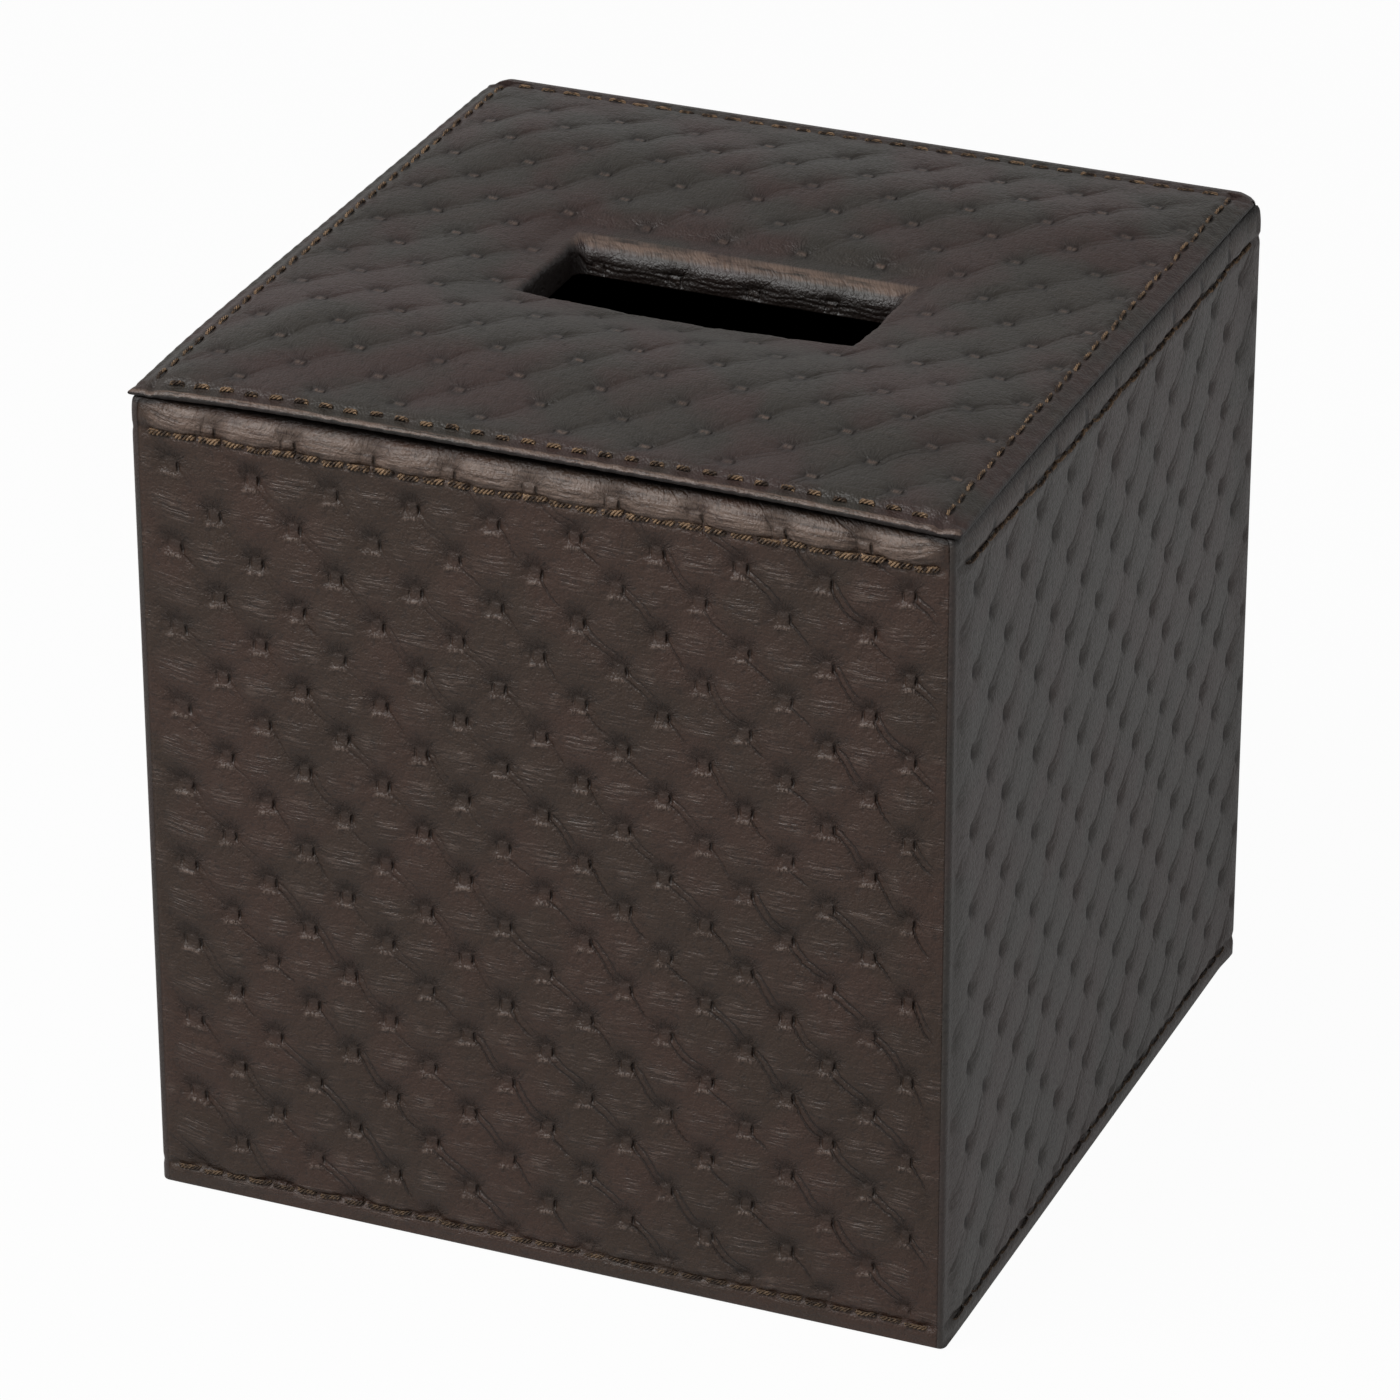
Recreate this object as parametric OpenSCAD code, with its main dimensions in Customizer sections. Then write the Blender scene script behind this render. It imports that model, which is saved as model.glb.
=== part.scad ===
// Cube tissue box cover in quilted leather. The lid has the tissue slot and swings back on a leather hinge.
// Millimetres. The origin is the middle of the underside, +Z is up and -Y is the front.

/* [Body] */
// Width across the leather of the left and right walls
body_w = 136; // [120:1:160]
// Depth from the leather of the front wall to that of the rear wall
body_d = 138.8; // [122:0.4:162]
// Height of the rim above the table
rim_h = 139.5; // [120:0.5:165]
// Thickness of the four wall boards
wall_t = 3; // [2.6:0.1:4]
// Thickness of the base board
base_t = 3; // [2:0.5:5]

/* [Leather] */
// Thickness of the quilted leather on the walls
skin_t = 1.4; // [1:0.1:2]
// Thickness of the leather folded over the rim
hem_t = 1.2; // [0.8:0.1:2]
// Thickness of the leather turned in behind the rim
turn_in_t = 0.8; // [0.5:0.1:1.2]
// How far the rim leather runs down inside
turn_in_h = 12; // [6:1:20]
// Thickness of the leather turned under the base
turn_under_t = 1; // [0.6:0.1:1.2]
// Width of the leather turned under the base
turn_under_w = 9; // [7:1:14]
// Radius of the upright edges
corner_r = 1.8; // [1:0.1:2.5]
// Radius of the roll along the rim
rim_r = 1.5; // [0.8:0.1:1.9]
// Radius of the bottom edge
foot_r = 0.6; // [0.3:0.1:0.9]
// How far the side leather laps onto the front and rear walls
corner_lip = 2; // [1:0.1:3]

/* [Quilting] */
// Distance between tufts along a row
tuft_pitch = 13.5; // [11:0.5:16]
// Distance between the rows of tufts on the walls
row_pitch = 6.94; // [6:0.02:8]
// Distance between the rows of tufts on the lid
lid_row_pitch = 7.24; // [6:0.02:8]
// Width of a tuft
tuft_w = 2.3; // [1.8:0.1:2.6]
// Height of a tuft
tuft_h = 1.9; // [1.4:0.1:2.2]
// Depth of a tuft in the walls
tuft_depth = 0.5; // [0.3:0.05:0.7]
// Depth of a tuft in the lid
lid_tuft_depth = 0.35; // [0.2:0.05:0.45]
// Drop from the rim to the first row of tufts
tuft_drop = 2.9; // [2.8:0.1:3.2]

/* [Stitching] */
// Distance from one stitch to the next
stitch_pitch = 4.2; // [3.4:0.1:5]
// Length of a stitch that shows
stitch_len = 3.2; // [2:0.1:3.3]
// Width of the thread
stitch_w = 0.8; // [0.6:0.1:0.9]
// Thickness of the thread
stitch_t = 0.6; // [0.5:0.1:0.8]
// Slant of each stitch in its row, in degrees
stitch_slant = 6; // [0:1:6]
// Width of the crease that a row of stitches lies in
groove_w = 1.3; // [1.2:0.1:1.6]
// Depth of that crease
groove_depth = 0.3; // [0.2:0.05:0.4]
// Drop from the rim to the upper row of stitches
top_stitch_drop = 5.1; // [4.8:0.1:5.6]
// Height of the lower row of stitches above the bottom edge of the leather
foot_stitch_rise = 3.4; // [2.6:0.1:4.4]

/* [Lid] */
// How far the lid stands out past each side wall
lid_overhang = 0.6; // [0.2:0.1:1.2]
// Open joint between the rim and the lid
lid_gap = 0.9; // [0.5:0.1:1.2]
// Thickness of the leather on the lid
lid_skin_t = 0.7; // [0.6:0.1:1.2]
// Thickness of the lid's board
lid_board_t = 1.3; // [1.2:0.1:2.5]
// Thickness of the leather turned under the lid's edge
lid_turn_t = 0.5; // [0.4:0.1:0.8]
// Radius of the lid's rounded edge
lid_edge_r = 1.2; // [0.8:0.05:1.2]
// Radius of the lid's rear corners, seen from above
lid_rear_r = 1.4; // [0.8:0.1:2.5]
// Thickness of the board that locates the lid in the rim
locator_t = 4.4; // [3:0.2:6]
// Clearance round the locating board
locator_gap = 0.8; // [0.5:0.1:1.5]
// Distance from the lid's front edge to its front row of stitches
lid_stitch_front = 2.8; // [2.4:0.1:3.6]
// Distance from the lid's side edges to the side rows
lid_stitch_side = 3.9; // [3:0.1:5]
// Distance from the start of the hinge roll to the rear row
lid_stitch_rear = 1.3; // [1:0.1:2.5]
// Distance from the lid's front edge to its first row of tufts
lid_tuft_front = 7.3; // [5.5:0.1:9]

/* [Slot] */
// Length of the tissue slot
slot_l = 57; // [45:1:80]
// Width of the tissue slot
slot_w = 23.4; // [18:0.2:32]
// Radius of the slot's corners
slot_r = 2.5; // [2:0.5:5]
// How far the slot lies in front of the lid's middle
slot_forward = 2.5; // [0:0.5:8]
// Thickness of the leather that lines the slot
sleeve_t = 0.8; // [0.5:0.1:1.2]
// Width of the slot's leather turned out under the lid
turn_out_w = 5; // [3:0.5:8]
// Radius of the rolled edge of the slot
slot_roll_r = 1.5; // [0.8:0.1:1.5]

/* [Hinge] */
// Thickness of the hinge leather
strip_t = 1.2; // [0.8:0.1:1.3]
// Outer radius of the hinge roll
roll_r = 4.7; // [4.5:0.1:4.9]
// How far the hinge leather runs down the rear wall, from the rim
strip_drop = 8; // [7:0.5:12]
// How far the hinge leather stops short of the side walls
strip_inset = 0.8; // [0.4:0.1:1.2]

/* [Lining] */
// Thickness of the lining cloth
lining_t = 0.8; // [0.5:0.1:1.2]
// Thickness of the felt under the base
cloth_t = 1.3; // [1.3:0.1:2]

/* [Magnets] */
// Length of a rim magnet
magnet_l = 12; // [8:1:16]
// Width of a rim magnet
magnet_w = 2; // [1.6:0.1:2.2]
// Height of a rim magnet
magnet_h = 4; // [3:0.5:8]
// Distance of each magnet from the middle
magnet_x = 40; // [25:1:50]
// Width of a keeper plate in the lid
keeper_w = 3.4; // [3:0.1:3.6]
// Thickness of a keeper plate
keeper_t = 0.8; // [0.5:0.1:1]

/* [Hidden] */
$fn = 64;

// Overrun of every cut past the face that it opens
over = 1;
// Gap between the end of the lid board and the hinge roll
board_end_gap = 0.1;

leather = [0.25, 0.21, 0.19];
thread = [0.62, 0.45, 0.28];
wood_fibre = [0.62, 0.48, 0.33];
black_cloth = [0.05, 0.05, 0.055];
plated = [0.66, 0.66, 0.68];

// Heights
under_z = cloth_t - turn_under_t;
foot_z = cloth_t;
base_top = foot_z + base_t;
board_top = rim_h - hem_t;
turn_in_z = board_top - turn_in_h;
lid_z = rim_h + lid_gap;
lid_board_z = lid_z + lid_turn_t;
lid_skin_z = lid_board_z + lid_board_t;
lid_top = lid_skin_z + lid_skin_t;
locator_z = lid_board_z - locator_t;
lid_under_z = locator_z - lining_t;
top_stitch_z = rim_h - top_stitch_drop;
foot_stitch_z = under_z + foot_stitch_rise;

// Depths: the hinge leather on the rear wall makes up the whole depth, which is centred on the origin
front_y = -(body_d + strip_t) / 2;
rear_y = front_y + body_d;
body_y = (front_y + rear_y) / 2;
board_front_y = front_y + skin_t;
board_rear_y = rear_y - skin_t;
room_front_y = board_front_y + wall_t + turn_in_t;
room_rear_y = board_rear_y - wall_t - turn_in_t;
roll_y = rear_y + strip_t - roll_r;
roll_z = lid_top - roll_r;

// Half widths
board_x = body_w / 2 - skin_t;
room_x = board_x - wall_t - turn_in_t;
lid_x = body_w / 2 + lid_overhang;
lid_board_x = lid_x - lid_skin_t;
locator_x = room_x - locator_gap;
strip_x = body_w / 2 - strip_inset;

locator_front_y = room_front_y + locator_gap;
locator_rear_y = room_rear_y - locator_gap;
slot_y = -slot_forward;
hole_l = slot_l + 2 * sleeve_t;
hole_w = slot_w + 2 * sleeve_t;
hole_r = slot_r + sleeve_t;
mitre_run = turn_under_w + wall_t;
stitch_front_y = front_y + lid_stitch_front;
stitch_rear_y = roll_y - lid_stitch_rear;
stitch_side_x = lid_x - lid_stitch_side;
magnet_y = board_front_y + wall_t / 2;

// A box from its lowest to its highest corner
module block(low, high) {
  translate(low) cube(high - low);
}

module rounded_rect(w, d, r) {
  square([w - 2 * r, d], center = true);
  square([w, d - 2 * r], center = true);
  for (x = [-1, 1], y = [-1, 1])
    translate([x * (w / 2 - r), y * (d / 2 - r)]) circle(r);
}

// Upright section of the body, with its rolled rim and its softer bottom edge
module body_section(w) {
  translate([-w / 2, under_z + foot_r]) square([w, rim_h - rim_r - under_z - foot_r]);
  translate([rim_r - w / 2, rim_h - 2 * rim_r]) square([w - 2 * rim_r, 2 * rim_r]);
  translate([foot_r - w / 2, under_z]) square([w - 2 * foot_r, 2 * foot_r]);
  for (side = [-1, 1]) {
    translate([side * (w / 2 - rim_r), rim_h - rim_r]) circle(rim_r);
    translate([side * (w / 2 - foot_r), under_z + foot_r]) circle(foot_r);
  }
}

// Section of the lid across its width, rounded at both edges
module lid_section(w) {
  translate([-w / 2, lid_z + lid_edge_r]) square([w, lid_top - lid_z - 2 * lid_edge_r]);
  translate([lid_edge_r - w / 2, lid_z]) square([w - 2 * lid_edge_r, lid_top - lid_z]);
  for (side = [-1, 1], z = [lid_z + lid_edge_r, lid_top - lid_edge_r])
    translate([side * (w / 2 - lid_edge_r), z]) circle(lid_edge_r);
}

// Stretches a section drawn as [y, z] along X, or one drawn as [x, z] along Y
module along_x(length) {
  rotate([90, 0, 90]) linear_extrude(length, center = true) children();
}

module along_y(length) {
  rotate([90, 0, 0]) linear_extrude(length, center = true) children();
}

// Faces a wall: children lie in its plane, with their own Z outward
module on_wall(turn, distance) {
  translate([0, body_y, 0]) rotate([0, 0, turn])
    translate([0, -distance, 0]) rotate([90, 0, 0]) children();
}

// Rows of tufts down from the first, every other row shifted by half a pitch
module tuft_field(span, rows, step, depth) {
  for (i = [0 : rows - 1])
    let (shift = i % 2 / 2, n = floor((span - tuft_w) / 2 / tuft_pitch - shift))
      for (k = [-n - 2 * shift : n])
        translate([(k + shift) * tuft_pitch, -i * step, 0])
          cube([tuft_w, tuft_h, 2 * depth], center = true);
}

module wall_tufts(span) {
  first_z = rim_h - tuft_drop;
  rows = 1 + floor((first_z - foot_stitch_z - tuft_h) / row_pitch);
  translate([0, first_z, 0]) tuft_field(span, rows, row_pitch, tuft_depth);
}

module stitch_row(length) {
  count = floor(length / stitch_pitch);
  for (i = [0 : count - 1])
    translate([(i - (count - 1) / 2) * stitch_pitch, 0, -groove_depth]) rotate([0, 0, stitch_slant])
      translate([-stitch_len / 2, -stitch_w / 2, 0]) cube([stitch_len, stitch_w, stitch_t]);
}

module stitch_crease(length) {
  translate([-length / 2, -groove_w / 2, -groove_depth])
    cube([length, groove_w, groove_depth + over]);
}

// Tufts and both creases of one wall, as cuts
module wall_cuts(span) {
  wall_tufts(span);
  translate([0, top_stitch_z, 0]) stitch_crease(span);
  translate([0, foot_stitch_z, 0]) stitch_crease(span);
}

front_span = body_w - 2 * corner_lip;
side_span = body_d - 2 * corner_lip;

// All the body leather before it is parted into its four pieces
module body_leather() {
  difference() {
    intersection() {
      translate([0, body_y, under_z]) linear_extrude(rim_h - under_z)
        rounded_rect(body_w, body_d, corner_r);
      translate([0, body_y, 0]) along_x(body_w + 2 * over) body_section(body_d);
      translate([0, body_y, 0]) along_y(body_d + 2 * over) body_section(body_w);
    }
    block([-board_x, board_front_y, foot_z], [board_x, board_rear_y, board_top]);
    block([-room_x, room_front_y, board_top - over], [room_x, room_rear_y, rim_h + over]);
    block([turn_under_w - body_w / 2, front_y + turn_under_w, under_z - over],
          [body_w / 2 - turn_under_w, rear_y - turn_under_w, foot_z + over]);
  }
  difference() {
    block([-room_x - turn_in_t, room_front_y - turn_in_t, turn_in_z],
          [room_x + turn_in_t, room_rear_y + turn_in_t, board_top + hem_t / 2]);
    block([-room_x, room_front_y, turn_in_z - over], [room_x, room_rear_y, rim_h + over]);
  }
}

// Space of one side piece: it laps round both upright edges and is mitred at the rim and the base
module side_space(side) {
  seam_x = body_w / 2 - corner_lip;
  translate([0, 0, under_z - over]) linear_extrude(rim_h - under_z + 2 * over)
    polygon([
      for (p = [
        [seam_x, front_y - over], [body_w / 2 + over, front_y - over],
        [body_w / 2 + over, rear_y + over], [seam_x, rear_y + over],
        [seam_x, rear_y], [seam_x - mitre_run, rear_y - mitre_run],
        [seam_x - mitre_run, front_y + mitre_run], [seam_x, front_y]
      ]) [side * p[0], p[1]]
    ]);
}

module end_cover(turn, low_y, high_y) {
  color(leather) difference() {
    intersection() {
      body_leather();
      block([-body_w, low_y, under_z - over], [body_w, high_y, rim_h + over]);
    }
    side_space(1);
    side_space(-1);
    on_wall(turn, body_d / 2) wall_cuts(front_span);
  }
}

module side_cover(side) {
  color(leather) difference() {
    intersection() {
      body_leather();
      side_space(side);
    }
    on_wall(side * 90, body_w / 2) wall_cuts(side_span);
  }
}

module front_cover() { end_cover(0, front_y - over, body_y); }
module rear_cover() { end_cover(180, body_y, rear_y + over); }
module left_cover() { side_cover(-1); }
module right_cover() { side_cover(1); }

module front_board() {
  color(wood_fibre) difference() {
    block([-board_x, board_front_y, foot_z], [board_x, board_front_y + wall_t, board_top]);
    for (side = [-1, 1])
      translate([side * magnet_x, magnet_y, board_top])
        cube([magnet_l, magnet_w, 2 * magnet_h], center = true);
  }
}

module rear_board() {
  color(wood_fibre)
    block([-board_x, board_rear_y - wall_t, foot_z], [board_x, board_rear_y, board_top]);
}

module side_board(side) {
  color(wood_fibre) translate([side * (board_x - wall_t / 2), 0, 0])
    block([-wall_t / 2, board_front_y + wall_t, foot_z],
          [wall_t / 2, board_rear_y - wall_t, board_top]);
}

module left_board() { side_board(-1); }
module right_board() { side_board(1); }

module base_board() {
  color(wood_fibre)
    block([wall_t - board_x, board_front_y + wall_t, foot_z],
          [board_x - wall_t, board_rear_y - wall_t, base_top]);
}

module end_lining(outer_y, way) {
  color(black_cloth) translate([0, outer_y + way * lining_t / 2, 0])
    block([wall_t - board_x, -lining_t / 2, base_top], [board_x - wall_t, lining_t / 2, turn_in_z]);
}

module side_lining(side) {
  color(black_cloth) translate([side * (board_x - wall_t - lining_t / 2), 0, 0])
    block([-lining_t / 2, board_front_y + wall_t + lining_t, base_top],
          [lining_t / 2, board_rear_y - wall_t - lining_t, turn_in_z]);
}

module front_lining() { end_lining(board_front_y + wall_t, 1); }
module rear_lining() { end_lining(board_rear_y - wall_t, -1); }
module left_lining() { side_lining(-1); }
module right_lining() { side_lining(1); }

// Laid in last, so it fits between the linings of the walls
module base_lining() {
  edge_x = board_x - wall_t - lining_t;
  color(black_cloth)
    block([-edge_x, board_front_y + wall_t + lining_t, base_top],
          [edge_x, board_rear_y - wall_t - lining_t, base_top + lining_t]);
}

module base_felt() {
  color(black_cloth)
    block([turn_under_w - body_w / 2, front_y + turn_under_w, 0],
          [body_w / 2 - turn_under_w, rear_y - turn_under_w, cloth_t]);
}

module rim_magnets() {
  color(plated) for (side = [-1, 1])
    translate([side * magnet_x, magnet_y, board_top - magnet_h / 2])
      cube([magnet_l, magnet_w, magnet_h], center = true);
}

// The upper row goes right round. Behind, it holds the hinge leather to the rear wall.
module body_top_stitching() {
  color(thread) {
    on_wall(0, body_d / 2) translate([0, top_stitch_z, 0]) stitch_row(front_span);
    on_wall(180, body_d / 2 + strip_t) translate([0, top_stitch_z, 0]) stitch_row(front_span);
    for (turn = [90, 270])
      on_wall(turn, body_w / 2) translate([0, top_stitch_z, 0]) stitch_row(side_span);
  }
}

module body_foot_stitching() {
  color(thread) {
    for (turn = [0, 180])
      on_wall(turn, body_d / 2) translate([0, foot_stitch_z, 0]) stitch_row(front_span);
    for (turn = [90, 270])
      on_wall(turn, body_w / 2) translate([0, foot_stitch_z, 0]) stitch_row(side_span);
  }
}

module slot_column(l, w, r, low_z, high_z) {
  translate([0, slot_y, low_z]) linear_extrude(high_z - low_z) rounded_rect(l, w, r);
}

// Waste between a square edge and the roll that replaces it
module roll_waste() {
  difference() {
    translate([-over, -slot_roll_r]) square([slot_roll_r + over, slot_roll_r + over]);
    translate([slot_roll_r, -slot_roll_r]) circle(slot_roll_r);
  }
}

// Cuts the roll round the slot's upper edge, at Z = 0
module slot_roll() {
  for (turn = [0, 90, 180, 270]) {
    half = turn % 180 == 0 ? slot_l / 2 : slot_w / 2;
    run = turn % 180 == 0 ? slot_w - 2 * slot_r : slot_l - 2 * slot_r;
    rotate([0, 0, turn]) translate([half, 0, 0])
      rotate([90, 0, 0]) linear_extrude(run, center = true) roll_waste();
  }
  for (x = [-1, 1], y = [-1, 1])
    translate([x * (slot_l / 2 - slot_r), y * (slot_w / 2 - slot_r), 0])
      rotate([0, 0, x > 0 ? (y > 0 ? 0 : 270) : (y > 0 ? 90 : 180)])
        rotate_extrude(angle = 90) translate([slot_r, 0]) roll_waste();
}

module lid_outline() {
  difference() {
    translate([-lid_x, front_y]) square([2 * lid_x, roll_y - front_y]);
    for (side = [-1, 1])
      translate([side * lid_x, roll_y]) square(2 * lid_rear_r, center = true);
  }
  for (side = [-1, 1])
    translate([side * (lid_x - lid_rear_r), roll_y - lid_rear_r]) circle(lid_rear_r);
}

// Lid leather: top, rounded edge, turned-in edge, slot sleeve and the sleeve's turned-out end
module lid_cover() {
  color(leather) difference() {
    union() {
      difference() {
        intersection() {
          translate([0, 0, lid_z]) linear_extrude(lid_top - lid_z) lid_outline();
          along_y(body_d * 2) lid_section(2 * lid_x);
          translate([0, front_y + body_d, 0]) along_x(body_w * 2) lid_section(2 * body_d);
        }
        block([-lid_board_x, front_y + lid_skin_t, lid_board_z],
              [lid_board_x, roll_y + over, lid_skin_z]);
        block([-locator_x, locator_front_y, lid_z - over],
              [locator_x, locator_rear_y, lid_board_z + over / 2]);
      }
      slot_column(hole_l, hole_w, hole_r, lid_under_z, lid_skin_z + lid_skin_t / 2);
      slot_column(hole_l + 2 * turn_out_w, hole_w + 2 * turn_out_w, hole_r, lid_under_z, locator_z);
    }
    slot_column(slot_l, slot_w, slot_r, lid_under_z - over, lid_top + over);
    translate([0, slot_y, lid_top]) slot_roll();
    lid_cuts();
  }
}

// Tufts and creases of the lid, as cuts
module lid_cuts() {
  rows = 1 + floor((stitch_rear_y - tuft_h - front_y - lid_tuft_front) / lid_row_pitch);
  difference() {
    translate([0, front_y + lid_tuft_front, lid_top]) mirror([0, 1, 0])
      tuft_field(2 * (stitch_side_x - groove_w), rows, lid_row_pitch, lid_tuft_depth);
    slot_column(slot_l + 2 * tuft_pitch / 3, slot_w + 2 * tuft_h, slot_r, lid_z, lid_top + over);
  }
  for (y = [stitch_front_y, stitch_rear_y])
    translate([0, y, lid_top]) stitch_crease(2 * stitch_side_x);
  for (side = [-1, 1])
    translate([side * stitch_side_x, (stitch_front_y + stitch_rear_y) / 2, lid_top])
      rotate([0, 0, 90]) stitch_crease(stitch_rear_y - stitch_front_y);
}

module lid_stitching() {
  color(thread) {
    for (y = [stitch_front_y, stitch_rear_y])
      translate([0, y, lid_top]) stitch_row(2 * stitch_side_x - stitch_w);
    for (side = [-1, 1])
      translate([side * stitch_side_x, (stitch_front_y + stitch_rear_y) / 2, lid_top])
        rotate([0, 0, 90]) stitch_row(stitch_rear_y - stitch_front_y - stitch_w);
  }
}

module lid_board() {
  color(wood_fibre) difference() {
    block([-lid_board_x, front_y + lid_skin_t, lid_board_z],
          [lid_board_x, roll_y - board_end_gap, lid_skin_z]);
    slot_column(hole_l, hole_w, hole_r, lid_board_z - over, lid_skin_z + over);
    for (side = [-1, 1])
      translate([side * magnet_x, magnet_y, lid_board_z])
        cube([magnet_l, keeper_w, 2 * keeper_t], center = true);
  }
}

module lid_keepers() {
  color(plated) for (side = [-1, 1])
    translate([side * magnet_x, magnet_y, lid_board_z + keeper_t / 2])
      cube([magnet_l, keeper_w, keeper_t], center = true);
}

module lid_locating_board() {
  color(wood_fibre) difference() {
    block([lining_t - locator_x, locator_front_y + lining_t, locator_z],
          [locator_x - lining_t, locator_rear_y - lining_t, lid_board_z]);
    slot_column(hole_l, hole_w, hole_r, locator_z - over, lid_board_z + over);
  }
}

// Cloth over the underside and the edges of the locating board
module lid_lining() {
  color(black_cloth) difference() {
    block([-locator_x, locator_front_y, lid_under_z], [locator_x, locator_rear_y, lid_board_z]);
    block([lining_t - locator_x, locator_front_y + lining_t, locator_z],
          [locator_x - lining_t, locator_rear_y - lining_t, lid_board_z + over]);
    slot_column(hole_l + 2 * turn_out_w, hole_w + 2 * turn_out_w, hole_r,
                lid_under_z - over, locator_z + over);
  }
}

// Flat on the rear wall, then rolled over the rear edge to the lid
module lid_hinge_strip() {
  color(leather) difference() {
    along_x(2 * strip_x) {
      translate([rear_y, rim_h - strip_drop]) square([strip_t, roll_z - rim_h + strip_drop]);
      translate([roll_y, roll_z]) intersection() {
        difference() {
          circle(roll_r);
          circle(roll_r - strip_t);
        }
        square(roll_r + over);
      }
    }
    on_wall(180, body_d / 2 + strip_t) translate([0, top_stitch_z, 0]) stitch_crease(front_span);
  }
}

front_board();
rear_board();
left_board();
right_board();
base_board();
front_cover();
rear_cover();
left_cover();
right_cover();
front_lining();
rear_lining();
left_lining();
right_lining();
base_lining();
base_felt();
rim_magnets();
body_top_stitching();
body_foot_stitching();
lid_board();
lid_locating_board();
lid_cover();
lid_lining();
lid_keepers();
lid_stitching();
lid_hinge_strip();
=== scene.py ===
import math

import bmesh
import bpy
import numpy as np
from mathutils import Matrix, Vector


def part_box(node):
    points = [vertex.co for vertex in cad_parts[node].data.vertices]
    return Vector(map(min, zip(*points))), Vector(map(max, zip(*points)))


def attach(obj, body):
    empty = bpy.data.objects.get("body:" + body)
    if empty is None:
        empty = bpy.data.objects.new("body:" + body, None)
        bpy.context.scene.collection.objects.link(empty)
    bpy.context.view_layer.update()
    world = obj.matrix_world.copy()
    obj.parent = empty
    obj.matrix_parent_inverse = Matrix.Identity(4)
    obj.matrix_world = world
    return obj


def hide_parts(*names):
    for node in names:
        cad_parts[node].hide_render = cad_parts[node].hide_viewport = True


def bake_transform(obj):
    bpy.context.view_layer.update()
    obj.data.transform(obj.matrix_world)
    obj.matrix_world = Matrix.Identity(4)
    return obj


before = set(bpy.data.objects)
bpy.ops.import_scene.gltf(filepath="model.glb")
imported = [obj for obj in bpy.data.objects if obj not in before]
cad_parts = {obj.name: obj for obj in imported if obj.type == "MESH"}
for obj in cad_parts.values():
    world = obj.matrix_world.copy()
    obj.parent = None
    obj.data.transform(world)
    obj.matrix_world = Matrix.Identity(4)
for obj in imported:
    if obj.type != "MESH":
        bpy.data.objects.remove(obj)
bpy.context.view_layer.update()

# All sizes below are in millimetres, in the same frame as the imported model: +Z up, -Y the front.
mm = 0.001


def corners(node):
    low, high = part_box(node)
    return np.array(low) / mm, np.array(high) / mm


# Driving sizes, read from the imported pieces
bodyHalfWidth = corners("right_cover")[1][0]
frontY = corners("front_cover")[0][1]
rearY = corners("rear_cover")[1][1]
bodyY = (frontY + rearY) / 2
bodyHalfDepth = (rearY - frontY) / 2
rimZ = corners("front_cover")[1][2]
underZ = corners("front_cover")[0][2]
seamX = bodyHalfWidth - 1.3  # the side pieces end just round the corner
turnInZ = corners("front_lining")[1][2]
hemDepth = corners("front_cover")[1][1] - frontY
turnUnder = bodyHalfWidth - corners("base_felt")[1][0]
boardLow, boardHigh = corners("front_board")
lidLow, lidHigh = corners("lid_cover")
lidTop = lidHigh[2]
lidBoardLow, lidBoardHigh = corners("lid_board")
locatorLow, locatorHigh = corners("lid_lining")
stripLow, stripHigh = corners("lid_hinge_strip")
topStitchZ = np.mean([c[2] for c in corners("body_top_stitching")])
footStitchZ = np.mean([c[2] for c in corners("body_foot_stitching")])
print("sizes read from the frame")

# The camera stands where the photographer stood
view = {
    "turn": 22.75,  # degrees to the right of straight in front
    "rise": 26.83,  # degrees above the table
    "roll": -0.103,
    "distance": 1115.3,
    "aim": (0, 0, 68),
    "slide": (-2.24, -0.012),  # to the right and up
    "lens": 175.99,
    "sensor": 36,
    "nearest": 0.05,  # metres
    "farthest": 20,
}


def makeCamera():
    turn, rise, roll = (math.radians(view[k]) for k in ("turn", "rise", "roll"))
    level = math.cos(rise)
    back = Vector((math.sin(turn) * level, -math.cos(turn) * level, math.sin(rise)))
    across = Vector((math.cos(turn), math.sin(turn), 0))
    upright = back.cross(across)
    right = across * math.cos(roll) + upright * math.sin(roll)
    up = upright * math.cos(roll) - across * math.sin(roll)
    place = Vector(view["aim"]) + back * view["distance"]
    place = place + right * view["slide"][0] + up * view["slide"][1]
    data = bpy.data.cameras.new("studioCamera")
    data.lens = view["lens"]
    data.sensor_width = view["sensor"]
    data.clip_start = view["nearest"]
    data.clip_end = view["farthest"]
    camera = bpy.data.objects.new("studioCamera", data)
    turned = Matrix((right, up, back)).transposed()
    camera.matrix_world = Matrix.Translation(place * mm) @ turned.to_4x4()
    bpy.context.scene.collection.objects.link(camera)
    bpy.context.scene.camera = camera


class Wire:
    # One output of a node, which takes part in sums
    def __init__(self, nodes, socket):
        self.nodes = nodes
        self.socket = socket

    def math(self, operation, *others):
        sockets = dict(enumerate([self, *others]))
        return self.nodes.add("ShaderNodeMath", {"operation": operation}, sockets)

    def __add__(self, other):
        return self.math("ADD", other)

    def __mul__(self, other):
        return self.math("MULTIPLY", other)

    def __sub__(self, other):
        return self.math("SUBTRACT", other)

    def __rsub__(self, other):
        return (self * -1).math("ADD", other)

    def __pow__(self, other):
        return self.math("POWER", other)

    def __abs__(self):
        return self.math("ABSOLUTE")

    def __neg__(self):
        return self * -1

    __radd__ = __add__
    __rmul__ = __mul__


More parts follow.
